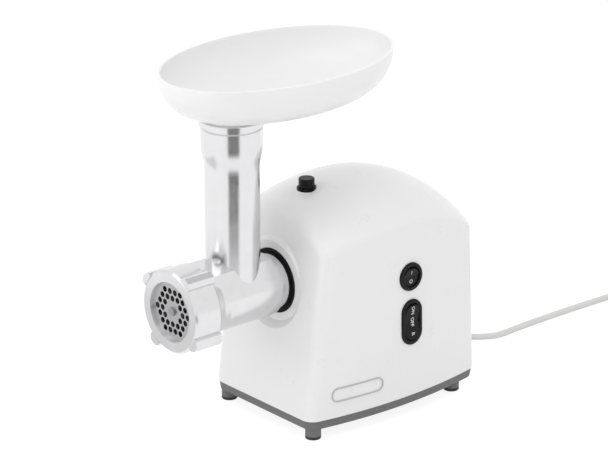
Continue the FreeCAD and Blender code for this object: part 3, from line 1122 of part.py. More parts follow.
def motor_bracket():
    boss = rod_y(AXIS_MOTOR, BEARING_RADIUS + 2, BRACKET_Y, REAR_BEARING_Y + BEARING_WIDTH)
    half = BRUSH_SIZE / 2 + 3
    solids = [boss, box(-BRACKET_ARM_X, BRACKET_ARM_X, BRACKET_Y, REAR_BEARING_Y, MOTOR_Z - half, MOTOR_Z + half),
              box(-half, half, BRACKET_Y, REAR_BEARING_Y, MOTOR_Z - COMMUTATOR_RADIUS - BRUSH_REACH,
                  MOTOR_Z + COMMUTATOR_RADIUS + BRUSH_REACH)]
    cuts = [rod_y(AXIS_MOTOR, BEARING_RADIUS + FIT, REAR_BEARING_Y, REAR_BEARING_Y + BEARING_WIDTH),
            rod_y(AXIS_MOTOR, SHAFT_RADIUS + 1, BRACKET_Y, REAR_BEARING_Y)]
    for x in (-BRACKET_ARM_X, BRACKET_ARM_X):
        solids.append(rod_y((x, MOTOR_Z), BRACKET_ARM_RADIUS, STATOR_REAR_Y, REAR_BEARING_Y))
        cuts.append(rod_y((x, MOTOR_Z), MOTOR_SCREW_RADIUS + FIT, STATOR_REAR_Y, REAR_BEARING_Y))
    return fused(solids).cut(cuts).removeSplitter()


def motor_screws():
    return Part.makeCompound([screw_y((x, MOTOR_Z), MOTOR_SCREW_RADIUS, SCREW_HEAD_RADIUS, REAR_BEARING_Y,
                                      CAVITY_REAR_Y + COVER_THICKNESS) for x in (-BRACKET_ARM_X, BRACKET_ARM_X)])


def brush_parts(half, start, end, hollow):
    """A pair of upright bars, above and below the commutator, hollow or solid."""
    y0 = COMMUTATOR_Y + COMMUTATOR_LENGTH / 2 - 0.5
    parts = []
    for side in (-1, 1):
        z = sorted([MOTOR_Z + side * start, MOTOR_Z + side * end])
        bar = box(-half, half, y0 - half, y0 + half, z[0], z[1])
        if hollow:
            inner = BRUSH_SIZE / 2 + FIT
            back = box(-half, half, y0 + half, BRACKET_Y, z[0], z[1])
            bar = bar.fuse(back).cut(box(-inner, inner, y0 - inner, y0 + inner, z[0], z[1])).removeSplitter()
        parts.append(bar)
    return Part.makeCompound(parts)


def brush_holders():
    return brush_parts(BRUSH_SIZE / 2 + 1, COMMUTATOR_RADIUS + 2, COMMUTATOR_RADIUS + BRUSH_REACH, True)


def carbon_brushes():
    return brush_parts(BRUSH_SIZE / 2, COMMUTATOR_RADIUS + SLIDE, COMMUTATOR_RADIUS + BRUSH_REACH - 4, False)


# Cord
def relief_axis():
    """Start and direction of the sleeve where the cord leaves the rear wall."""
    rear = HOUSING_REAR_Y - wall_shift(CORD_EXIT_Z, REAR_DRAFT)
    drop = math.radians(RELIEF_DROP)
    return V(0, rear, CORD_EXIT_Z), V(0, math.cos(drop), -math.sin(drop))


def relief_rod(radius, start, end):
    base, along = relief_axis()
    return Part.makeCylinder(radius, end - start, base + along * start, along)


def strain_relief():
    base, along = relief_axis()
    sleeve = Part.makeCone(RELIEF_RADIUS, RELIEF_TIP, RELIEF_LENGTH, base, along)
    plug_in = relief_rod(RELIEF_RADIUS, -HOUSING_WALL * 2, 0)
    return sleeve.fuse(plug_in).cut(relief_rod(CORD_RADIUS + FIT, -HOUSING_WALL * 2, RELIEF_LENGTH - 4)).cut(
        relief_rod(CORD_RADIUS + FIT, RELIEF_LENGTH - 4, RELIEF_LENGTH)).removeSplitter()


def cord_route():
    """Points of the free lead: down to the floor behind the grinder and on to the coil."""
    base, along = relief_axis()
    start = base + along * (RELIEF_LENGTH - 4)
    floor = CORD_RADIUS
    touch = (base.z - floor) / math.tan(math.radians(RELIEF_DROP))
    entry = coil_point(0.0)
    return [start, V(0, base.y + touch, floor), V(-2.4, 194.0, floor), V(-3.2, 242.0, floor),
            entry - coil_heading(0.0) * LEAD_IN, entry]


def rounded_path(points):
    """Straight runs joined by tangent arcs, each as large as its two runs allow."""
    edges = []
    last = points[0]
    radii = []
    for before, corner, after in zip(points, points[1:], points[2:]):
        run_in = corner - before
        run_out = after - corner
        setback = 0.45 * min(run_in.Length, run_out.Length)
        turn = run_in.getAngle(run_out)
        radii.append(setback / math.tan(turn / 2))
        first = corner - V(run_in).normalize() * setback
        end = corner + V(run_out).normalize() * setback
        middle = (first + end) * 0.5
        bulge = (corner - middle).Length
        radius = radii[-1]
        half_chord = (end - first).Length / 2
        sagitta = radius - math.sqrt(radius ** 2 - half_chord ** 2)
        mid = middle + (corner - middle) * (sagitta / bulge)
        edges.append(Part.LineSegment(last, first).toShape())
        edges.append(Part.Arc(first, mid, end).toShape())
        last = end
    edges.append(Part.LineSegment(last, points[-1]).toShape())
    return Part.Wire(edges), radii


def tube_along(path, radius):
    start = path.Edges[0].valueAt(path.Edges[0].FirstParameter)
    along = path.Edges[0].tangentAt(path.Edges[0].FirstParameter)
    ring = Part.Wire(Part.makeCircle(radius, start, along))
    return path.makePipeShell([ring], True, False)


def cord_lead():
    path, radii = rounded_path(cord_route())
    print("lead radii", [round(r, 1) for r in radii], "length", round(path.Length, 1))
    return tube_along(path, CORD_RADIUS)


def coil_point(turn):
    """A point of the coil: spiral in on the floor, climb half a turn, spiral out on top."""
    half = COIL_TURNS / 2
    inward = turn if turn < half else COIL_TURNS - turn
    climb = min(1.0, max(0.0, (turn - half + 0.25) / 0.5))
    climb = climb * climb * (3 - 2 * climb)
    radius = COIL_RADIUS - COIL_STEP * inward
    angle = math.pi - 2 * math.pi * turn
    return V(COIL_CENTRE[0] + radius * math.cos(angle), COIL_CENTRE[1] + radius * math.sin(angle),
             CORD_RADIUS + COIL_LIFT + COIL_STEP * climb)


def coil_heading(turn):
    step = 0.001
    return (coil_point(min(COIL_TURNS, turn + step)) - coil_point(max(0.0, turn - step))).normalize()


def biarc(p0, t0, p1, t1):
    """Two arcs from p0 along t0 to p1 along t1."""
    span = p1 - p0
    both = t0 + t1
    a = 2 * (1 - t0.dot(t1))
    b = span.dot(both)
    reach = (-b + math.sqrt(b * b + a * span.dot(span))) / a
    joint = (p0 + p1 + (t0 - t1) * reach) * 0.5
    return [Part.Arc(p0, arc_middle(p0, t0, joint), joint).toShape(),
            Part.Arc(joint, arc_middle(p1, t1 * -1, joint), p1).toShape()]


def arc_middle(start, tangent, end):
    """The middle of the arc that leaves start along tangent and ends at end."""
    chord = end - start
    half = chord.Length / 2
    turn = tangent.getAngle(chord)
    side = chord.normalize()
    across = tangent - side * tangent.dot(side)
    return start + side * half + across.normalize() * (half * math.tan(turn / 2))


def cord_coil():
    edges = []
    marks = [COIL_TURNS * i / int(COIL_TURNS * 8) for i in range(int(COIL_TURNS * 8) + 1)]
    lead_in = coil_point(0.0)
    lead_out = coil_point(COIL_TURNS)
    edges.append(Part.LineSegment(lead_in, lead_in + coil_heading(0.0) * (2 * CORD_RADIUS)).toShape())
    shift = coil_heading(0.0) * (2 * CORD_RADIUS)
    for a, b in zip(marks, marks[1:]):
        edges += biarc(coil_point(a) + shift, coil_heading(a), coil_point(b) + shift, coil_heading(b))
    end = lead_out + shift
    edges.append(Part.LineSegment(end, end + coil_heading(COIL_TURNS) * (2 * CORD_RADIUS)).toShape())
    path = Part.Wire(edges)
    print("coil length", round(path.Length, 1), "least gap", round(coil_gap(), 2))
    return tube_along(path, CORD_RADIUS)


def coil_gap():
    """Least clear distance between neighbouring turns, measured on points."""
    count = 40
    points = [coil_point(COIL_TURNS * i / (COIL_TURNS * count)) for i in range(int(COIL_TURNS * count) + 1)]
    least = min((points[i] - points[j]).Length for i in range(len(points)) for j in range(i + count // 2, len(points)))
    return least - 2 * CORD_RADIUS


def coil_end():
    heading = coil_heading(COIL_TURNS)
    return coil_point(COIL_TURNS) + coil_heading(0.0) * (2 * CORD_RADIUS) + heading * (2 * CORD_RADIUS), heading


def tail_route():
    start, heading = coil_end()
    plug_z = PLUG_HEIGHT / 2
    step = TAIL_LENGTH / 3
    first = start + heading * step
    return [start, first, V(first.x, first.y - step, plug_z), V(first.x, first.y - 2 * step, plug_z)]


def cord_tail():
    path, radii = rounded_path(tail_route())
    print("tail radii", [round(r, 1) for r in radii], "length", round(path.Length, 1))
    return tube_along(path, CORD_RADIUS)


def cord_tie():
    """Band round the turns on the coil's far side."""
    inner = COIL_RADIUS - COIL_STEP * COIL_TURNS / 2 - CORD_RADIUS - SLIDE * 3
    outer = COIL_RADIUS + CORD_RADIUS + SLIDE * 6
    top = TIE_THICKNESS + 2 * CORD_RADIUS + COIL_STEP + SLIDE * 3
    cx, cy = COIL_CENTRE
    y = cy + 2 * CORD_RADIUS
    block = box(inner - TIE_THICKNESS, outer + TIE_THICKNESS, -TIE_WIDTH / 2, TIE_WIDTH / 2, 0, top + TIE_THICKNESS)
    room = box(inner, outer, -TIE_WIDTH, TIE_WIDTH, TIE_THICKNESS, top)
    band = block.cut(room)
    band.rotate(V(0, 0, 0), V(0, 0, 1), 90)
    band.translate(V(cx, y, 0))
    return band


def plug_frame():
    tail = tail_route()
    return tail[-1]


def plug_body():
    """Generic two-pin plug lying on the floor, its pins pointing along -Y."""
    start = plug_frame()
    half = PLUG_WIDTH / 2
    y0 = start.y - PLUG_LENGTH
    outline = [V(start.x - RELIEF_TIP, start.y, 0), V(start.x - half, start.y - PLUG_LENGTH * 0.45, 0),
               V(start.x - half, y0, 0), V(start.x + half, y0, 0),
               V(start.x + half, start.y - PLUG_LENGTH * 0.45, 0), V(start.x + RELIEF_TIP, start.y, 0)]
    body = polygon_face(outline).extrude(V(0, 0, PLUG_HEIGHT))
    return body.makeFillet(2.0, [e for e in body.Edges if abs(e.tangentAt(e.FirstParameter).z) < 0.1
                                 and e.BoundBox.YMax > y0 + 1 and e.Length > 10])


def plug_pins():
    start = plug_frame()
    y1 = start.y - PLUG_LENGTH
    pins = []
    for side in (-1, 1):
        x = start.x + side * PLUG_PIN_SPACING / 2
        pin = rod_y((x, start.z), PLUG_PIN_RADIUS, y1 - PLUG_PIN_LENGTH, y1)
        tip = [e for e in pin.Edges if e.BoundBox.YMax < y1 - PLUG_PIN_LENGTH / 2]
        pins.append(pin.makeFillet(PLUG_PIN_RADIUS / 2, tip))
    return Part.makeCompound(pins)


PIECES = [housing_shell, base_plate, rubber_feet, base_screws, badge_frame, collar_ring, button_bezel, lock_button,
          lock_yoke, lock_spring, power_switch, power_rocker, direction_switch, direction_rocker, head_casting,
          auger, auger_bush, knife, cutting_plate, ring_nut, food_tray, gearbox_case, gearbox_cover, cover_screws,
          case_screws, output_bush, output_shaft, output_gear, intermediate_pinion, intermediate_wheel,
          intermediate_axle, motor_shaft, motor_bearings, armature_core, armature_winding, commutator, cooling_fan,
          motor_stator, field_coils, motor_bracket, motor_screws, brush_holders, carbon_brushes, strain_relief,
          cord_lead, cord_coil, cord_tail, cord_tie, plug_body, plug_pins]


def export(name, shape):
    placed = shape.copy()
    placed.translate(V(0, Y_SHIFT, 0))
    placed.exportStep("parts/" + name + ".step")


def main():
    os.makedirs("parts", exist_ok=True)
    for piece in PIECES:
        shape = piece()
        print(piece.__name__, shape.isValid(), len(shape.Solids), round(shape.Volume, 1))
        export(piece.__name__, shape)


if __name__ == "__main__":
    main()
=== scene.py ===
import json
import math
from typing import NamedTuple

import bmesh
import bpy
from mathutils import Matrix, Vector


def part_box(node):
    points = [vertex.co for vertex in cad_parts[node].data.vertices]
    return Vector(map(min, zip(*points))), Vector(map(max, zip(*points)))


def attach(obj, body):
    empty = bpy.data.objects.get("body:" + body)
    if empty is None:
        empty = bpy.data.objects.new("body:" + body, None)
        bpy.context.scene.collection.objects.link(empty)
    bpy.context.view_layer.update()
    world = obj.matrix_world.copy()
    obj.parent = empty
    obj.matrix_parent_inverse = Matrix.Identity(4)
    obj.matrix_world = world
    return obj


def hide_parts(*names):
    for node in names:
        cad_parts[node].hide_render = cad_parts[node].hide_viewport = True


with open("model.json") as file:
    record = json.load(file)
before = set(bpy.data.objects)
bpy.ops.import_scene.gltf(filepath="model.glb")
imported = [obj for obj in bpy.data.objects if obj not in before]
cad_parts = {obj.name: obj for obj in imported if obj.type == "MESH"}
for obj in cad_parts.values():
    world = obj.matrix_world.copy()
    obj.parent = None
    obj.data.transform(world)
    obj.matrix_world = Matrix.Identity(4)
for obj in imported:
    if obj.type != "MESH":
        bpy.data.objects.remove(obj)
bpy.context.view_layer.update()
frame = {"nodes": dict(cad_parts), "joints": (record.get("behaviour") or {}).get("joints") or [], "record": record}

bl_info = {
    "name": "Electric Meat Grinder",
    "version": (1, 0, 0),
    "blender": (4, 5, 0),
    "location": "View3D > Sidebar > Grinder",
    "description": "Dresses an electric meat grinder: finishes, mains cord, switch marks and studio",
    "category": "Object",
}

MM = 0.001
JOINTS = {joint["name"]: joint for joint in frame["joints"]}
SLOT_OF = {part["node"]: part["material_slot"] for part in frame["record"]["subparts"]}


class GrinderColours(bpy.types.PropertyGroup):
    """Colours of the grinder's main finishes."""

    housing: bpy.props.FloatVectorProperty(
        name="Housing", description="Glossy white moulding of the motor housing",
        subtype="COLOR", default=(0.80, 0.80, 0.80), min=0, max=1)
    base: bpy.props.FloatVectorProperty(
        name="Base", description="Matt grey moulding of the base band",
        subtype="COLOR", default=(0.135, 0.135, 0.138), min=0, max=1)
    black: bpy.props.FloatVectorProperty(
        name="Black plastic", description="Switches, lock button and collar",
        subtype="COLOR", default=(0.005, 0.005, 0.006), min=0, max=1)
    metal: bpy.props.FloatVectorProperty(
        name="Cast metal", description="Polished casting of the head and the screw ring",
        subtype="COLOR", default=(0.755, 0.755, 0.765), min=0, max=1)
    tray: bpy.props.FloatVectorProperty(
        name="Tray", description="Milky white plastic of the food tray",
        subtype="COLOR", default=(0.81, 0.81, 0.81), min=0, max=1)
    cord: bpy.props.FloatVectorProperty(
        name="Cord", description="Soft white sheath of the mains cord",
        subtype="COLOR", default=(0.66, 0.66, 0.65), min=0, max=1)


class GrinderSizes(bpy.types.PropertyGroup):
    """Sizes of the pieces that this file makes: the cord and the switch marks."""

    cord_length: bpy.props.FloatProperty(
        name="Cord length", description="From the strain relief to the plug",
        unit="LENGTH", default=1.25)
    cord_diameter: bpy.props.FloatProperty(
        name="Cord diameter", description="Across the round sheath",
        unit="LENGTH", default=5 * MM)
    coil_radius: bpy.props.FloatProperty(
        name="Coil radius", description="Middle of the coil's outermost turn",
        unit="LENGTH", default=36 * MM)
    coil_step: bpy.props.FloatProperty(
        name="Coil step", description="Distance between neighbouring turns",
        unit="LENGTH", default=5.6 * MM)
    coil_turns: bpy.props.FloatProperty(
        name="Coil turns", description="Turns of the put-away cord", default=5.5)
    mark_height: bpy.props.FloatProperty(
        name="Switch mark height", description="Height of the letters on the switches",
        unit="LENGTH", default=4.3 * MM)
    mark_relief: bpy.props.FloatProperty(
        name="Switch mark relief", description="How far the printed marks stand up",
        unit="LENGTH", default=0.05 * MM)


class GrinderStudio(bpy.types.PropertyGroup):
    """Camera and light."""

    azimuth: bpy.props.FloatProperty(
        name="Azimuth", description="Camera direction round the grinder",
        subtype="ANGLE", default=math.radians(49.44))
    elevation: bpy.props.FloatProperty(
        name="Elevation", description="Camera height above the horizon",
        subtype="ANGLE", default=math.radians(21.05))
    distance: bpy.props.FloatProperty(
        name="Distance", description="Camera to the middle of the grinder",
        unit="LENGTH", default=2.5)
    lens: bpy.props.FloatProperty(
        name="Lens", description="Focal length on a 36 mm sensor, in millimetres", default=198.5)
    world_strength: bpy.props.FloatProperty(
        name="Room light", description="Even light from all round", default=0.94)
    key_power: bpy.props.FloatProperty(
        name="Key light", description="Power of the large lamp overhead, in watts", default=6.0)
    fill_power: bpy.props.FloatProperty(
        name="Front fill",
        description="Power of the lamp that lifts the front under the tray, in watts", default=2.4)


# Shader helpers


# Sockets of a Mix node that blends colours
MIX_FACTOR, MIX_LOW, MIX_HIGH, MIX_RESULT = 0, 6, 7, 2


class Wire:
    """One value in a node tree. Arithmetic on it adds Math nodes."""

    def __init__(self, tree, socket):
        self.tree = tree
        self.socket = socket

    def _math(self, operation, first, second):
        node = self.tree.nodes.new("ShaderNodeMath")
        node.operation = operation
        for socket, value in zip(node.inputs, (first, second)):
            plug_in(self.tree, socket, value)
        return Wire(self.tree, node.outputs[0])

    def __add__(self, other):
        return self._math("ADD", self, other)

    def __radd__(self, other):
        return self._math("ADD", other, self)

    def __sub__(self, other):
        return self._math("SUBTRACT", self, other)

    def __rsub__(self, other):
        return self._math("SUBTRACT", other, self)

    def __mul__(self, other):
        return self._math("MULTIPLY", self, other)

    def __rmul__(self, other):
        return self._math("MULTIPLY", other, self)

    def __truediv__(self, other):
        return self._math("DIVIDE", self, other)

    def __rtruediv__(self, other):
        return self._math("DIVIDE", other, self)


def plug_in(tree, socket, value):
    """Link a wire to a socket, or set a plain value on it."""
    if isinstance(value, Wire):
        tree.links.new(value.socket, socket)
    else:
        socket.default_value = value


class NodeDesk:
    """A node tree that nodes are laid out on."""

    def __init__(self, tree):
        self.tree = tree
        tree.nodes.clear()

    def node(self, kind, output=0, settings=None, inputs=None):
        """Add a node, set it up, fill its sockets and return one of its outputs."""
        made = self.tree.nodes.new(kind)
        for name, value in (settings or {}).items():
            setattr(made, name, value)
        for name, value in (inputs or {}).items():
            plug_in(self.tree, made.inputs[name], value)
        return Wire(self.tree, made.outputs[output]) if made.outputs else None

    def tint(self, factor, low, high):
        """Blend two colours by a value."""
        return self.node("ShaderNodeMix", MIX_RESULT, {"data_type": "RGBA"}, {
            MIX_FACTOR: factor, MIX_LOW: (*low, 1), MIX_HIGH: (*high, 1)})

    def seen(self):
        """One to the camera, in mirrors and through clear pieces, nought to bounced light."""
        camera = self.node("ShaderNodeLightPath", "Is Camera Ray")
        glossy = self.node("ShaderNodeLightPath", "Is Glossy Ray")
        through = self.node("ShaderNodeLightPath", "Is Transmission Ray")
        return self.node("ShaderNodeClamp", inputs={"Value": camera + glossy + through})


class Finish(NodeDesk):
    """A material in the making: one Principled shader and what feeds it."""

    def __init__(self, name):
        self.material = bpy.data.materials.new(name)
        self.material.use_nodes = True
        super().__init__(self.material.node_tree)

    def place(self, stretch=(1, 1, 1)):
        """Position on the piece in metres, stretched along the axes."""
        here = self.node("ShaderNodeTexCoord", "Object")
        return self.node("ShaderNodeMapping", inputs={"Vector": here, "Scale": stretch})

    def grain(self, scale, detail, stretch=(1, 1, 1), roughness=0.5):
        """Noise over the piece, from nought to one."""
        return self.node("ShaderNodeTexNoise", "Fac", inputs={
            "Vector": self.place(stretch), "Scale": scale, "Detail": detail,
            "Roughness": roughness})

    def stripes(self, direction, scale, distortion, detail):
        """Bands across the piece, from nought to one."""
        return self.node("ShaderNodeTexWave", "Fac", {"bands_direction": direction}, {
            "Vector": self.place(), "Scale": scale, "Distortion": distortion, "Detail": detail})

    def relief(self, height, strength, depth):
        """Surface direction for a height pattern that is this deep, in metres."""
        return self.node("ShaderNodeBump", inputs={
            "Height": height, "Strength": strength, "Distance": depth})

    def surface(self, **sockets):
        """Make the shader; socket names are written with underscores."""
        inputs = {socket_name(name): value for name, value in sockets.items()}
        shader = self.node("ShaderNodeBsdfPrincipled", inputs=inputs)
        self.node("ShaderNodeOutputMaterial", inputs={"Surface": shader})
        return self.material


def socket_name(name):
    """The socket that a keyword stands for: base_color is Base Color."""
    return name.replace("_", " ").title().replace("Ior", "IOR")


def shade(colour, factor):
    """A colour made lighter or darker."""
    return tuple(channel * factor for channel in colour)


# Finishes


SKIN_DEPTH = 0.2 * MM
GRAIN_DEPTH = 0.3 * MM
STRAND_DEPTH = 0.4 * MM
CASTING_DEPTH = 1.2 * MM


def moulded_plastic(name, colour, gloss, texture, strength, coat=0.0, shine=0.5):
    """Moulded plastic: faint flow marks in the colour, uneven gloss and a fine skin texture."""
    finish = Finish(name)
    flow = finish.grain(scale=9.0, detail=4.0)
    skin = finish.grain(scale=texture, detail=2.0)
    smudge = finish.grain(scale=38.0, detail=5.0, roughness=0.62)
    return finish.surface(
        base_color=finish.tint(flow, shade(colour, 0.97), shade(colour, 1.02)),
        roughness=gloss + 0.10 * smudge + 0.05 * (skin - 0.5),
        specular_ior_level=shine, coat_weight=coat, coat_roughness=0.08,
        normal=finish.relief(skin, strength, SKIN_DEPTH))


def polished_casting(name, colour, stretch, gloss):
    """Polished light alloy: soft casting waves, fine polishing lines and small dull patches."""
    finish = Finish(name)
    waves = finish.grain(scale=42.0, detail=2.0)
    lines = finish.grain(scale=1.0, detail=4.0, stretch=stretch, roughness=0.6)
    dull = finish.grain(scale=130.0, detail=4.0)
    pits = finish.grain(scale=2300.0, detail=2.0)
    height = 0.20 * waves + 0.02 * lines + 0.03 * pits
    return finish.surface(
        base_color=finish.tint(dull, shade(colour, 0.93), shade(colour, 1.03)),
        metallic=1.0, roughness=gloss + 0.12 * dull + 0.09 * (lines - 0.5),
        normal=finish.relief(height, 0.35, CASTING_DEPTH))


def ground_metal(name, colour, stretch, gloss):
    """Ground or drawn metal with fine lines along the direction of working."""
    finish = Finish(name)
    lines = finish.grain(scale=1.0, detail=5.0, stretch=stretch, roughness=0.65)
    stain = finish.grain(scale=70.0, detail=4.0)
    return finish.surface(
        base_color=finish.tint(stain * 0.5 + lines * 0.5, shade(colour, 0.82), shade(colour, 1.08)),
        metallic=1.0, roughness=gloss + 0.16 * lines + 0.06 * stain,
        normal=finish.relief(lines, 0.06, SKIN_DEPTH))


def housing_white(colours):
    return moulded_plastic("housing_white", colours.housing, gloss=0.24, coat=0.25,
                           texture=900.0, strength=0.004)


def base_grey(colours):
    """Matt textured grey, a little paler where the texture stands up."""
    finish = Finish("base_grey")
    spark = finish.grain(scale=2600.0, detail=3.0)
    cloud = finish.grain(scale=30.0, detail=3.0)
    return finish.surface(
        base_color=finish.tint(spark * 0.6 + cloud * 0.4,
                               shade(colours.base, 0.82), shade(colours.base, 1.2)),
        roughness=0.46 + 0.16 * spark, normal=finish.relief(spark, 0.22, SKIN_DEPTH))


def black_plastic(colours):
    return moulded_plastic("black_plastic", colours.black, gloss=0.30, shine=0.18,
                           texture=1800.0, strength=0.03)


def collar_rubber(colours):
    """Black rubber with a faint bloom."""
    finish = Finish("collar_rubber")
    bloom = finish.grain(scale=240.0, detail=4.0)
    return finish.surface(
        base_color=finish.tint(bloom, shade(colours.black, 0.7), shade(colours.black, 1.6)),
        roughness=0.5 + 0.2 * bloom, specular_ior_level=0.15,
        normal=finish.relief(bloom, 0.08, GRAIN_DEPTH))


def foot_rubber(colours):
    """Dull rubber with dust and scuffs."""
    finish = Finish("foot_rubber")
    dust = finish.grain(scale=420.0, detail=5.0, roughness=0.7)
    return finish.surface(
        base_color=finish.tint(dust, (0.012, 0.012, 0.012), (0.045, 0.044, 0.042)),
        roughness=0.62 + 0.22 * dust, normal=finish.relief(dust, 0.25, GRAIN_DEPTH))


def cast_metal(colours):
    return polished_casting("cast_metal", colours.metal, stretch=(900.0, 900.0, 40.0), gloss=0.13)


# Painted shade: the auger takes the cast metal's colour at half its brightness, so the plate's holes, which show
# the auger inside the head, read dark.
def auger_metal(colours):
    return polished_casting("auger_metal", shade(colours.metal, 0.5),
                            stretch=(900.0, 60.0, 900.0), gloss=0.30)


def blade_steel(colours):
    return ground_metal("blade_steel", (0.50, 0.50, 0.51),
                        stretch=(1600.0, 400.0, 90.0), gloss=0.22)


def milky_tray(colours):
    """Milky white plastic that lets a little light through."""
    finish = Finish("milky_tray")
    flow = finish.grain(scale=7.0, detail=3.0)
    skin = finish.grain(scale=700.0, detail=2.0)
    smudge = finish.grain(scale=26.0, detail=5.0, roughness=0.6)
    return finish.surface(
        base_color=finish.tint(flow, shade(colours.tray, 0.975), shade(colours.tray, 1.015)),
        roughness=0.26 + 0.12 * smudge, coat_weight=0.15, coat_roughness=0.12,
        subsurface_weight=0.35, subsurface_radius=(0.01, 0.01, 0.01), subsurface_scale=0.4,
        normal=finish.relief(skin, 0.012, SKIN_DEPTH))


def badge_border(colours):
    """Dull silver foil."""
    finish = Finish("badge_border")
    rub = finish.grain(scale=900.0, detail=3.0)
    return finish.surface(
        base_color=finish.tint(rub, (0.40, 0.40, 0.41), (0.55, 0.55, 0.56)),
        metallic=0.4, roughness=0.32 + 0.14 * rub)


def cord_sheath(colours):
    """Soft white sheath with a faint drawn surface."""
    finish = Finish("cord_sheath")
    drawn = finish.grain(scale=600.0, detail=3.0)
    grime = finish.grain(scale=60.0, detail=4.0)
    return finish.surface(
        base_color=finish.tint(grime, shade(colours.cord, 0.94), shade(colours.cord, 1.05)),
        roughness=0.42 + 0.14 * drawn, normal=finish.relief(drawn, 0.06, SKIN_DEPTH))


def tie_band(colours):
    """Soft black band with a close rib along it."""
    finish = Finish("tie_band")
    rib = finish.stripes("X", scale=420.0, distortion=0.6, detail=1.0)
    return finish.surface(
        base_color=finish.tint(rib, (0.012, 0.012, 0.012), (0.04, 0.04, 0.042)),
        roughness=0.6 + 0.15 * rib, normal=finish.relief(rib, 0.3, GRAIN_DEPTH))


def bright_plating(colours):
    return ground_metal("bright_plating", (0.74, 0.74, 0.73),
                        stretch=(500.0, 70.0, 500.0), gloss=0.14)


def zinc_steel(colours):
    return ground_metal("zinc_steel", (0.58, 0.58, 0.60),
                        stretch=(700.0, 700.0, 700.0), gloss=0.30)


def shaft_steel(colours):
    return ground_metal("shaft_steel", (0.52, 0.52, 0.53),
                        stretch=(120.0, 1800.0, 120.0), gloss=0.18)


def spring_wire(colours):
    return ground_metal("spring_wire", (0.46, 0.46, 0.48),
                        stretch=(900.0, 900.0, 200.0), gloss=0.24)


def hobbed_steel(colours):
    return ground_metal("hobbed_steel", (0.40, 0.40, 0.42),
                        stretch=(900.0, 120.0, 900.0), gloss=0.32)


def pressed_steel(colours):
    return ground_metal("pressed_steel", (0.50, 0.50, 0.52),
                        stretch=(300.0, 300.0, 60.0), gloss=0.34)


def gear_nylon(colours):
    return moulded_plastic("gear_nylon", (0.70, 0.68, 0.58), gloss=0.42,
                           texture=1200.0, strength=0.05)


def gearbox_moulding(colours):
    return moulded_plastic("gearbox_moulding", (0.035, 0.035, 0.038), gloss=0.48,
                           texture=1600.0, strength=0.12)


def fan_moulding(colours):
    return moulded_plastic("fan_moulding", (0.05, 0.05, 0.055), gloss=0.40,
                           texture=1600.0, strength=0.08)


def bush_moulding(colours):
    return moulded_plastic("bush_moulding", (0.04, 0.04, 0.04), gloss=0.36,
                           texture=1900.0, strength=0.06)


def sintered_bronze(colours):
    """Porous bronze, dark in its pores."""
    finish = Finish("sintered_bronze")
    pores = finish.grain(scale=3200.0, detail=3.0)
    return finish.surface(
        base_color=finish.tint(pores, (0.24, 0.15, 0.06), (0.58, 0.41, 0.20)),
        metallic=0.9, roughness=0.34 + 0.22 * pores,
        normal=finish.relief(pores, 0.18, SKIN_DEPTH))


def stacked_sheet(colours):
    """Edges of thin steel sheets stacked along the motor's axis."""
    finish = Finish("stacked_sheet")
    sheets = finish.stripes("Y", scale=320.0, distortion=0.2, detail=2.0)
    rust = finish.grain(scale=160.0, detail=5.0)
    return finish.surface(
        base_color=finish.tint(rust * 0.4 + sheets * 0.6, (0.10, 0.10, 0.105), (0.30, 0.30, 0.31)),
        metallic=0.85, roughness=0.42 + 0.18 * sheets,
        normal=finish.relief(sheets, 0.3, GRAIN_DEPTH))


def varnished_winding(colours):
    """Varnished copper wire, wound close."""
    finish = Finish("varnished_winding")
    strands = finish.stripes("DIAGONAL", scale=420.0, distortion=3.0, detail=2.0)
    return finish.surface(
        base_color=finish.tint(strands, (0.14, 0.04, 0.012), (0.48, 0.19, 0.07)),
        metallic=0.6, roughness=0.26 + 0.2 * strands, coat_weight=0.5,
        normal=finish.relief(strands, 0.5, STRAND_DEPTH))


def turned_copper(colours):
    return ground_metal("turned_copper", (0.72, 0.40, 0.24),
                        stretch=(160.0, 1500.0, 160.0), gloss=0.24)


def folded_brass(colours):
    return ground_metal("folded_brass", (0.70, 0.53, 0.26),
                        stretch=(240.0, 240.0, 600.0), gloss=0.26)


def brush_carbon(colours):
    """Soft black carbon, dusty."""
    finish = Finish("brush_carbon")
    dust = finish.grain(scale=1500.0, detail=4.0)
    return finish.surface(
        base_color=finish.tint(dust, (0.012, 0.012, 0.013), (0.05, 0.05, 0.052)),
        roughness=0.5 + 0.25 * dust)


def printed_white(colours):
    """Thin white ink, uneven where it lies thinner."""
    finish = Finish("printed_white")
    ink = finish.grain(scale=2400.0, detail=3.0)
    return finish.surface(
        base_color=finish.tint(ink, (0.74, 0.74, 0.74), (0.86, 0.86, 0.86)),
        roughness=0.5 + 0.1 * ink)


HOUSING_FINISHES = {
    "housing": housing_white, "base": base_grey, "foot_rubber": foot_rubber,
    "badge": badge_border, "collar": collar_rubber, "screw_steel": zinc_steel}
SWITCH_FINISHES = {
    "button": black_plastic, "switch": black_plastic, "rocker": black_plastic,
    "lock_steel": pressed_steel, "spring_steel": spring_wire}
HEAD_FINISHES = {
    "cast_metal": cast_metal, "auger_metal": auger_metal, "bush": bush_moulding,
    "blade_steel": blade_steel}
TRAY_FINISHES = {"tray": milky_tray}
DRIVE_FINISHES = {
    "gearbox": gearbox_moulding, "bronze": sintered_bronze, "shaft_steel": shaft_steel,
    "gear_plastic": gear_nylon, "gear_steel": hobbed_steel, "lamination": stacked_sheet,
    "winding": varnished_winding, "copper": turned_copper, "fan_plastic": fan_moulding,
    "brush_brass": folded_brass, "carbon": brush_carbon}
CORD_FINISHES = {"cord": cord_sheath, "tie": tie_band, "pin_metal": bright_plating}


def dress(context, finishes):
    """Give every node of these material slots its finish."""
    made = {}
    for node, slot in SLOT_OF.items():
        if slot in finishes:
            if slot not in made:
                made[slot] = finishes[slot](context.scene.grinder_colours)
            wear(frame["nodes"][node], made[slot])
    return made


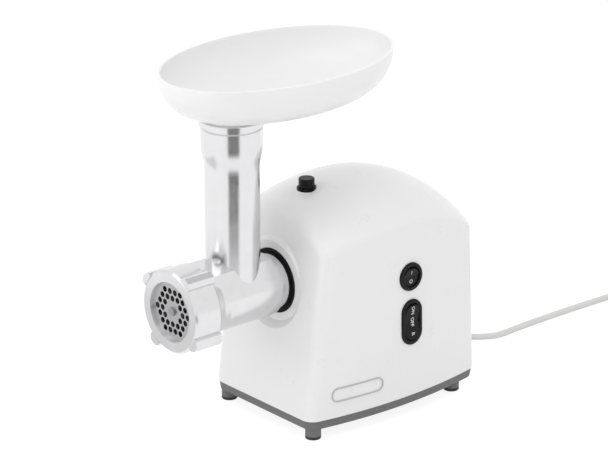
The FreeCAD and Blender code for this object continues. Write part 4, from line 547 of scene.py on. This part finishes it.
def wear(piece, material):
    """Put one material on all of a piece."""
    piece.data.materials.clear()
    piece.data.materials.append(material)


def add_object(name, data):
    """A new object in the scene."""
    made = bpy.data.objects.new(name, data)
    bpy.context.scene.collection.objects.link(made)
    return made


def add_piece(name, data, body):
    """A new object that moves with a body and belongs to a material slot."""
    piece = add_object(name, data)
    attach(piece, body)
    return piece


# Cord


# Points of the lead in millimetres, from the strain relief along the floor to the coil
LEAD_ROUTE = [(0.0, 142.3, 20.5), (0.0, 191.8, 2.5), (-2.4, 232.0, 2.5), (-3.2, 280.0, 2.5),
              (0.55, 348.0, 3.4), (1.5, 382.0, 3.4)]
COIL_CENTRE = Vector((37.5, 387.0, 3.4)) * MM
POINTS_PER_TURN = 16
CLIMB_TURNS = 0.5
TAIL_LEAVES = 0.55
TAIL_LANDS = 0.28
SHEATH_RESOLUTION = 5
CURVE_ORDER = 3
CURVE_RESOLUTION = 6

TIE_CORNER = 2.6 * MM
TIE_THICKNESS = 0.7 * MM
TIE_CORNER_STEPS = 4


def coil_points(sizes):
    """Middle line of the coil, in metres: in along the floor, up half a turn, out on top."""
    half = sizes.coil_turns / 2
    count = int(sizes.coil_turns * POINTS_PER_TURN)
    points = []
    for i in range(count + 1):
        turn = sizes.coil_turns * i / count
        inward = turn if turn < half else sizes.coil_turns - turn
        climb = min(1.0, max(0.0, (turn - half + CLIMB_TURNS / 2) / CLIMB_TURNS))
        climb = climb * climb * (3 - 2 * climb)
        radius = sizes.coil_radius - sizes.coil_step * inward
        angle = math.pi - 2 * math.pi * turn
        points.append(COIL_CENTRE + Vector((
            radius * math.cos(angle), radius * math.sin(angle), sizes.coil_step * climb)))
    return points


def cord_points(sizes):
    """Middle line of the whole cord, in metres."""
    lead = [Vector(point) * MM for point in LEAD_ROUTE]
    coil = coil_points(sizes)
    plug_low, plug_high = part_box("plug_body")
    entry = (plug_low + plug_high) / 2
    entry.y = plug_high.y
    run = coil[-1].y - entry.y
    tail = [Vector((entry.x, entry.y + run * TAIL_LEAVES, coil[-1].z)),
            Vector((entry.x, entry.y + run * TAIL_LANDS, entry.z)), entry]
    return lead + coil + tail


def sheath_curve(points, diameter):
    """Round curve through the points. Its radius is on the points, so the bevel's is one."""
    curve = bpy.data.curves.new("mains_cord", "CURVE")
    curve.dimensions = "3D"
    curve.bevel_depth = 1.0
    curve.bevel_resolution = SHEATH_RESOLUTION
    curve.use_fill_caps = True
    spline = curve.splines.new("NURBS")
    spline.points.add(len(points) - 1)
    for target, point in zip(spline.points, points):
        target.co = (*point, 1.0)
        target.radius = diameter / 2
    spline.order_u = CURVE_ORDER
    spline.use_endpoint_u = True
    spline.resolution_u = CURVE_RESOLUTION
    return curve


class GRINDER_OT_cord(bpy.types.Operator):
    """Lay the mains cord from the strain relief through its coil to the plug"""

    bl_idname = "grinder.cord"
    bl_label = "Mains cord"

    def execute(self, context):
        sizes = context.scene.grinder_sizes
        points = cord_points(sizes)
        curve = sheath_curve(points, sizes.cord_diameter)
        cord = add_piece("mains_cord", curve, "machine")
        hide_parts("cord_lead", "cord_coil", "cord_tail")
        finishes = dress(context, CORD_FINISHES)
        wear(cord, finishes["cord"])
        tie = coil_tie(finishes["tie"])
        return {"FINISHED"}


def tie_outline(low, high, inset):
    """Corners of the band's rounded outline, as pairs of Y and Z."""
    outline = []
    corners = ((high.y, high.z), (low.y, high.z), (low.y, low.z), (high.y, low.z))
    for quarter, (y, z) in enumerate(corners):
        middle_y = y + (-1 if y == high.y else 1) * TIE_CORNER
        middle_z = z + (-1 if z == high.z else 1) * TIE_CORNER
        for step in range(TIE_CORNER_STEPS + 1):
            angle = math.radians(90 * (quarter + step / TIE_CORNER_STEPS))
            outline.append((middle_y + (TIE_CORNER - inset) * math.cos(angle),
                            middle_z + (TIE_CORNER - inset) * math.sin(angle)))
    return outline


def coil_tie(material):
    """Soft band with rounded corners round the coil's bundle of turns."""
    low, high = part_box("cord_tie")
    mesh = bpy.data.meshes.new("coil_tie")
    build = bmesh.new()
    rings = [[build.verts.new((x, y, z)) for y, z in tie_outline(low, high, inset)]
             for inset in (0.0, TIE_THICKNESS) for x in (low.x, high.x)]
    count = len(rings[0])
    for first, second in ((0, 1), (1, 3), (3, 2), (2, 0)):
        for i in range(count):
            j = (i + 1) % count
            build.faces.new((rings[first][i], rings[first][j], rings[second][j], rings[second][i]))
    bmesh.ops.recalc_face_normals(build, faces=build.faces)
    build.to_mesh(mesh)
    build.free()
    tie = add_piece("coil_tie", mesh, "machine")
    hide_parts("cord_tie")
    wear(tie, material)
    return tie


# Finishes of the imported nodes


class GRINDER_OT_housing(bpy.types.Operator):
    """Finish the housing, its base, feet, badge border and socket collar"""

    bl_idname = "grinder.housing"
    bl_label = "Housing and base"

    def execute(self, context):
        dress(context, HOUSING_FINISHES)
        return {"FINISHED"}


class GRINDER_OT_controls(bpy.types.Operator):
    """Finish the two switches and the lock button"""

    bl_idname = "grinder.controls"
    bl_label = "Switches and lock"

    def execute(self, context):
        dress(context, SWITCH_FINISHES)
        return {"FINISHED"}


class GRINDER_OT_head(bpy.types.Operator):
    """Finish the cast head, auger, knife, plate and screw ring"""

    bl_idname = "grinder.head"
    bl_label = "Grinding head"

    def execute(self, context):
        dress(context, HEAD_FINISHES)
        return {"FINISHED"}


class GRINDER_OT_tray(bpy.types.Operator):
    """Finish the food tray"""

    bl_idname = "grinder.tray"
    bl_label = "Food tray"

    def execute(self, context):
        dress(context, TRAY_FINISHES)
        return {"FINISHED"}


class GRINDER_OT_drive(bpy.types.Operator):
    """Finish the gears and the motor inside the housing"""

    bl_idname = "grinder.drive"
    bl_label = "Gears and motor"

    def execute(self, context):
        dress(context, DRIVE_FINISHES)
        return {"FINISHED"}


# Switch marks


WALL_LEAN = math.radians(1.5)
FACE_TILT = math.radians(8.0)
VALLEY = 2.1 * MM
MARK_SINK = 0.02 * MM
FOLD_LIFT = 0.12 * MM
LETTER_RESOLUTION = 3
# Turns letters that face +Z and read along +X to face +X and read along +Y
UPRIGHT = Matrix(((0, 0, 1, 0), (1, 0, 0, 0), (0, 1, 0, 0), (0, 0, 0, 1)))


class Mark(NamedTuple):
    """A printed mark: its place up the rocker, the rocker's swing at rest and its face's tilt."""

    name: str
    words: str
    joint: str
    along: float
    swing: float
    tilt: float
    sideways: bool
    folded: bool = False


MARKS = (
    Mark("mark_on", "ON", "direction_rock", 9.6 * MM, 0.0, FACE_TILT, sideways=True),
    Mark("mark_off", "OFF", "direction_rock", 0.1 * MM, 0.0, 0.0, sideways=True, folded=True),
    Mark("mark_reverse", "R", "direction_rock", -9.4 * MM, 0.0, -FACE_TILT, sideways=True),
    Mark("mark_i", "I", "power_rock", 3.6 * MM, FACE_TILT, FACE_TILT, sideways=False),
    Mark("mark_o", "O", "power_rock", -3.6 * MM, FACE_TILT, -FACE_TILT, sideways=False))


def fold(mesh):
    """Bend a flat mark into the valley between the two faces of a rocker."""
    for vertex in mesh.vertices:
        vertex.co.x += abs(vertex.co.z) * math.tan(FACE_TILT) + FOLD_LIFT


def mark_mesh(name, words, height, relief):
    """Letters as a thin mesh, centred, facing +Z, reading along +X."""
    curve = bpy.data.curves.new(name, "FONT")
    curve.body = words
    curve.size = height
    curve.extrude = relief
    curve.align_x = "CENTER"
    curve.align_y = "CENTER"
    curve.resolution_u = LETTER_RESOLUTION
    holder = add_object(name, curve)
    bpy.context.view_layer.update()
    shaped = holder.evaluated_get(bpy.context.evaluated_depsgraph_get())
    mesh = bpy.data.meshes.new_from_object(shaped)
    bpy.data.objects.remove(holder)
    mesh.name = name
    return mesh


def put_mark(mark, sizes, material):
    """Set a mark on its rocker's face."""
    mesh = mark_mesh(mark.name, mark.words, sizes.mark_height, sizes.mark_relief)
    turn = Matrix.Rotation(-math.pi / 2, 4, "Z") if mark.sideways else Matrix.Identity(4)
    mesh.transform(Matrix.Translation((0, 0, mark.along)) @ UPRIGHT @ turn)
    if mark.folded:
        fold(mesh)
    joint = JOINTS[mark.joint]
    out = Matrix.Translation((VALLEY - MARK_SINK, 0, 0))
    mesh.transform(Matrix.Translation(joint["pos_m"])
                   @ Matrix.Rotation(mark.swing - WALL_LEAN, 4, "Y") @ out
                   @ Matrix.Rotation(mark.tilt, 4, "Y"))
    piece = add_piece(mark.name, mesh, joint["child"])
    wear(piece, material)


class GRINDER_OT_marks(bpy.types.Operator):
    """Print the plain ON, OFF, R, I and O marks on the two rockers"""

    bl_idname = "grinder.marks"
    bl_label = "Switch marks"

    def execute(self, context):
        white = printed_white(context.scene.grinder_colours)
        for mark in MARKS:
            put_mark(mark, context.scene.grinder_sizes, white)
        return {"FINISHED"}


# Stage


TARGET = Vector((0.0, -0.002, 0.130))
SENSOR_WIDTH = 36.0
SHIFT = (0.0049, 0.0313)

FLOOR_HALF = 6.0
FLOOR_GLOW = 1.16
FLOOR_LIT_SHARE = 0.25

# Grey cards on the floor that the polished metal mirrors; lengths in metres
CARD_MIDDLE = Vector((0.0, -0.068, 0.001))
CARDS = (
    {"name": "tube_card", "azimuth": math.radians(57.0), "near": 0.32, "far": 1.3,
     "near_width": 0.25, "far_width": 0.97, "grey": 0.22, "fade": 0.17},
    {"name": "nut_card", "azimuth": math.radians(-49.0), "near": 0.18, "far": 0.36,
     "near_width": 0.26, "far_width": 0.38, "grey": 0.84, "fade": 0.03})

KEY_LAMP = {"place": (0.5, -0.6, 1.9), "aim": (0, 0, 0.1), "side": 1.6}
FILL_LAMP = {"place": (-0.45, -1.1, 0.70), "aim": (0, 0, 0.12), "side": 0.9}


def backdrop(name, glow, lit_share):
    """White floor: mostly plain white to the camera, with some of the real light left in."""
    material = bpy.data.materials.new(name)
    material.use_nodes = True
    desk = NodeDesk(material.node_tree)
    dust = desk.node("ShaderNodeTexNoise", "Fac", inputs={"Scale": 3.0})
    pale = desk.tint(dust, (0.90, 0.90, 0.90), (0.92, 0.92, 0.92))
    lit = desk.node("ShaderNodeBsdfDiffuse", inputs={"Color": pale})
    white = desk.node("ShaderNodeEmission", inputs={"Color": (1, 1, 1, 1), "Strength": glow})
    both = desk.node("ShaderNodeMixShader", inputs={
        0: desk.seen() * (1 - lit_share), 1: lit, 2: white})
    desk.node("ShaderNodeOutputMaterial", inputs={"Surface": both})
    return material


def card_grey(name, grey, near, fade):
    """Grey that only mirrors see: white at the near edge, then darker over the fade."""
    material = bpy.data.materials.new(name)
    material.use_nodes = True
    desk = NodeDesk(material.node_tree)
    here = desk.node("ShaderNodeTexCoord", "Object")
    away = desk.node("ShaderNodeVectorMath", "Value", {"operation": "DISTANCE"}, {
        0: here, 1: CARD_MIDDLE})
    share = desk.node("ShaderNodeClamp", inputs={"Value": (away - near) / fade})
    colour = desk.tint(share, (1, 1, 1), (grey, grey, grey))
    flat = desk.node("ShaderNodeEmission", inputs={"Color": colour, "Strength": 1.0})
    desk.node("ShaderNodeOutputMaterial", inputs={"Surface": flat})
    return material


def flat_sheet(name, corners, material):
    """One four-cornered face."""
    mesh = bpy.data.meshes.new(name)
    mesh.from_pydata(corners, [], [(0, 1, 2, 3)])
    sheet = add_object(name, mesh)
    wear(sheet, material)
    return sheet


def floor_card(name, azimuth, near, far, near_width, far_width, grey, fade):
    """Card on the floor beside the grinder, seen in polished metal and nowhere else."""
    out = Vector((math.sin(azimuth), -math.cos(azimuth), 0))
    side = Vector((math.cos(azimuth), math.sin(azimuth), 0))
    near_edge, far_edge = CARD_MIDDLE + out * near, CARD_MIDDLE + out * far
    corners = [near_edge - side * near_width / 2, near_edge + side * near_width / 2,
               far_edge + side * far_width / 2, far_edge - side * far_width / 2]
    card = flat_sheet(name, corners, card_grey(name, grey, near, fade))
    card.visible_camera = False
    card.visible_diffuse = False
    card.visible_shadow = False
    return card


def white_world(strength):
    """Even white room; the camera, metal and clear pieces see plain white."""
    world = bpy.data.worlds.new("white_room")
    bpy.context.scene.world = world
    world.use_nodes = True
    desk = NodeDesk(world.node_tree)
    room = desk.node("ShaderNodeBackground", inputs={
        "Color": (1, 1, 1, 1), "Strength": strength + (1 - strength) * desk.seen()})
    desk.node("ShaderNodeOutputWorld", inputs={"Surface": room})


def lamp(name, power, place, aim, side):
    """Square soft lamp that looks at a point."""
    data = bpy.data.lights.new(name, "AREA")
    data.shape = "SQUARE"
    data.size = side
    data.energy = power
    piece = add_object(name, data)
    piece.location = place
    piece.rotation_euler = (Vector(aim) - piece.location).to_track_quat("-Z", "Y").to_euler()


def studio_camera(studio):
    """Camera that looks at the grinder from where the photograph was taken."""
    turn, rise = studio.azimuth, studio.elevation
    back = Vector((math.sin(turn) * math.cos(rise), -math.cos(turn) * math.cos(rise),
                   math.sin(rise)))
    data = bpy.data.cameras.new("studio_camera")
    data.sensor_width = SENSOR_WIDTH
    data.lens = studio.lens
    data.shift_x, data.shift_y = SHIFT
    camera = add_object("studio_camera", data)
    camera.location = TARGET + back * studio.distance
    camera.rotation_euler = (-back).to_track_quat("-Z", "Y").to_euler()
    return camera


class GRINDER_OT_stage(bpy.types.Operator):
    """Set the camera, the white floor and the soft studio light"""

    bl_idname = "grinder.stage"
    bl_label = "Camera and studio"

    def execute(self, context):
        studio = context.scene.grinder_studio
        context.scene.view_settings.view_transform = "Standard"
        context.scene.camera = studio_camera(studio)
        corners = [(-FLOOR_HALF, -FLOOR_HALF, 0), (FLOOR_HALF, -FLOOR_HALF, 0),
                   (FLOOR_HALF, FLOOR_HALF, 0), (-FLOOR_HALF, FLOOR_HALF, 0)]
        floor = flat_sheet("floor", corners, backdrop("white_floor", FLOOR_GLOW, FLOOR_LIT_SHARE))
        for settings in CARDS:
            card = floor_card(**settings)
        white_world(studio.world_strength)
        lamp("overhead_softbox", studio.key_power, **KEY_LAMP)
        lamp("front_fill", studio.fill_power, **FILL_LAMP)
        return {"FINISHED"}


class GRINDER_PT_panel(bpy.types.Panel):
    """Steps that dress the grinder"""

    bl_idname = "GRINDER_PT_panel"
    bl_label = "Meat grinder"
    bl_space_type = "VIEW_3D"
    bl_region_type = "UI"
    bl_category = "Grinder"

    def draw(self, context):
        for step in STEPS:
            self.layout.operator(step.bl_idname)
        for name in GROUPS:
            group = getattr(context.scene, name)
            box = self.layout.box()
            for setting in group.__annotations__:
                box.prop(group, setting)


STEPS = (GRINDER_OT_stage, GRINDER_OT_cord, GRINDER_OT_housing, GRINDER_OT_controls,
         GRINDER_OT_head, GRINDER_OT_tray, GRINDER_OT_drive, GRINDER_OT_marks)
GROUPS = {"grinder_colours": GrinderColours, "grinder_sizes": GrinderSizes,
          "grinder_studio": GrinderStudio}


def register():
    for group in GROUPS.values():
        bpy.utils.register_class(group)
    for name, group in GROUPS.items():
        setattr(bpy.types.Scene, name, bpy.props.PointerProperty(type=group))
    for step in (*STEPS, GRINDER_PT_panel):
        bpy.utils.register_class(step)


def unregister():
    for step in (GRINDER_PT_panel, *reversed(STEPS)):
        bpy.utils.unregister_class(step)
    for name in GROUPS:
        delattr(bpy.types.Scene, name)
    for group in GROUPS.values():
        bpy.utils.unregister_class(group)


def main():
    register()
    bpy.ops.grinder.stage()
    bpy.ops.grinder.cord()
    bpy.ops.grinder.housing()
    bpy.ops.grinder.controls()
    bpy.ops.grinder.head()
    bpy.ops.grinder.tray()
    bpy.ops.grinder.drive()
    bpy.ops.grinder.marks()


if __name__ == "__main__":
    main()
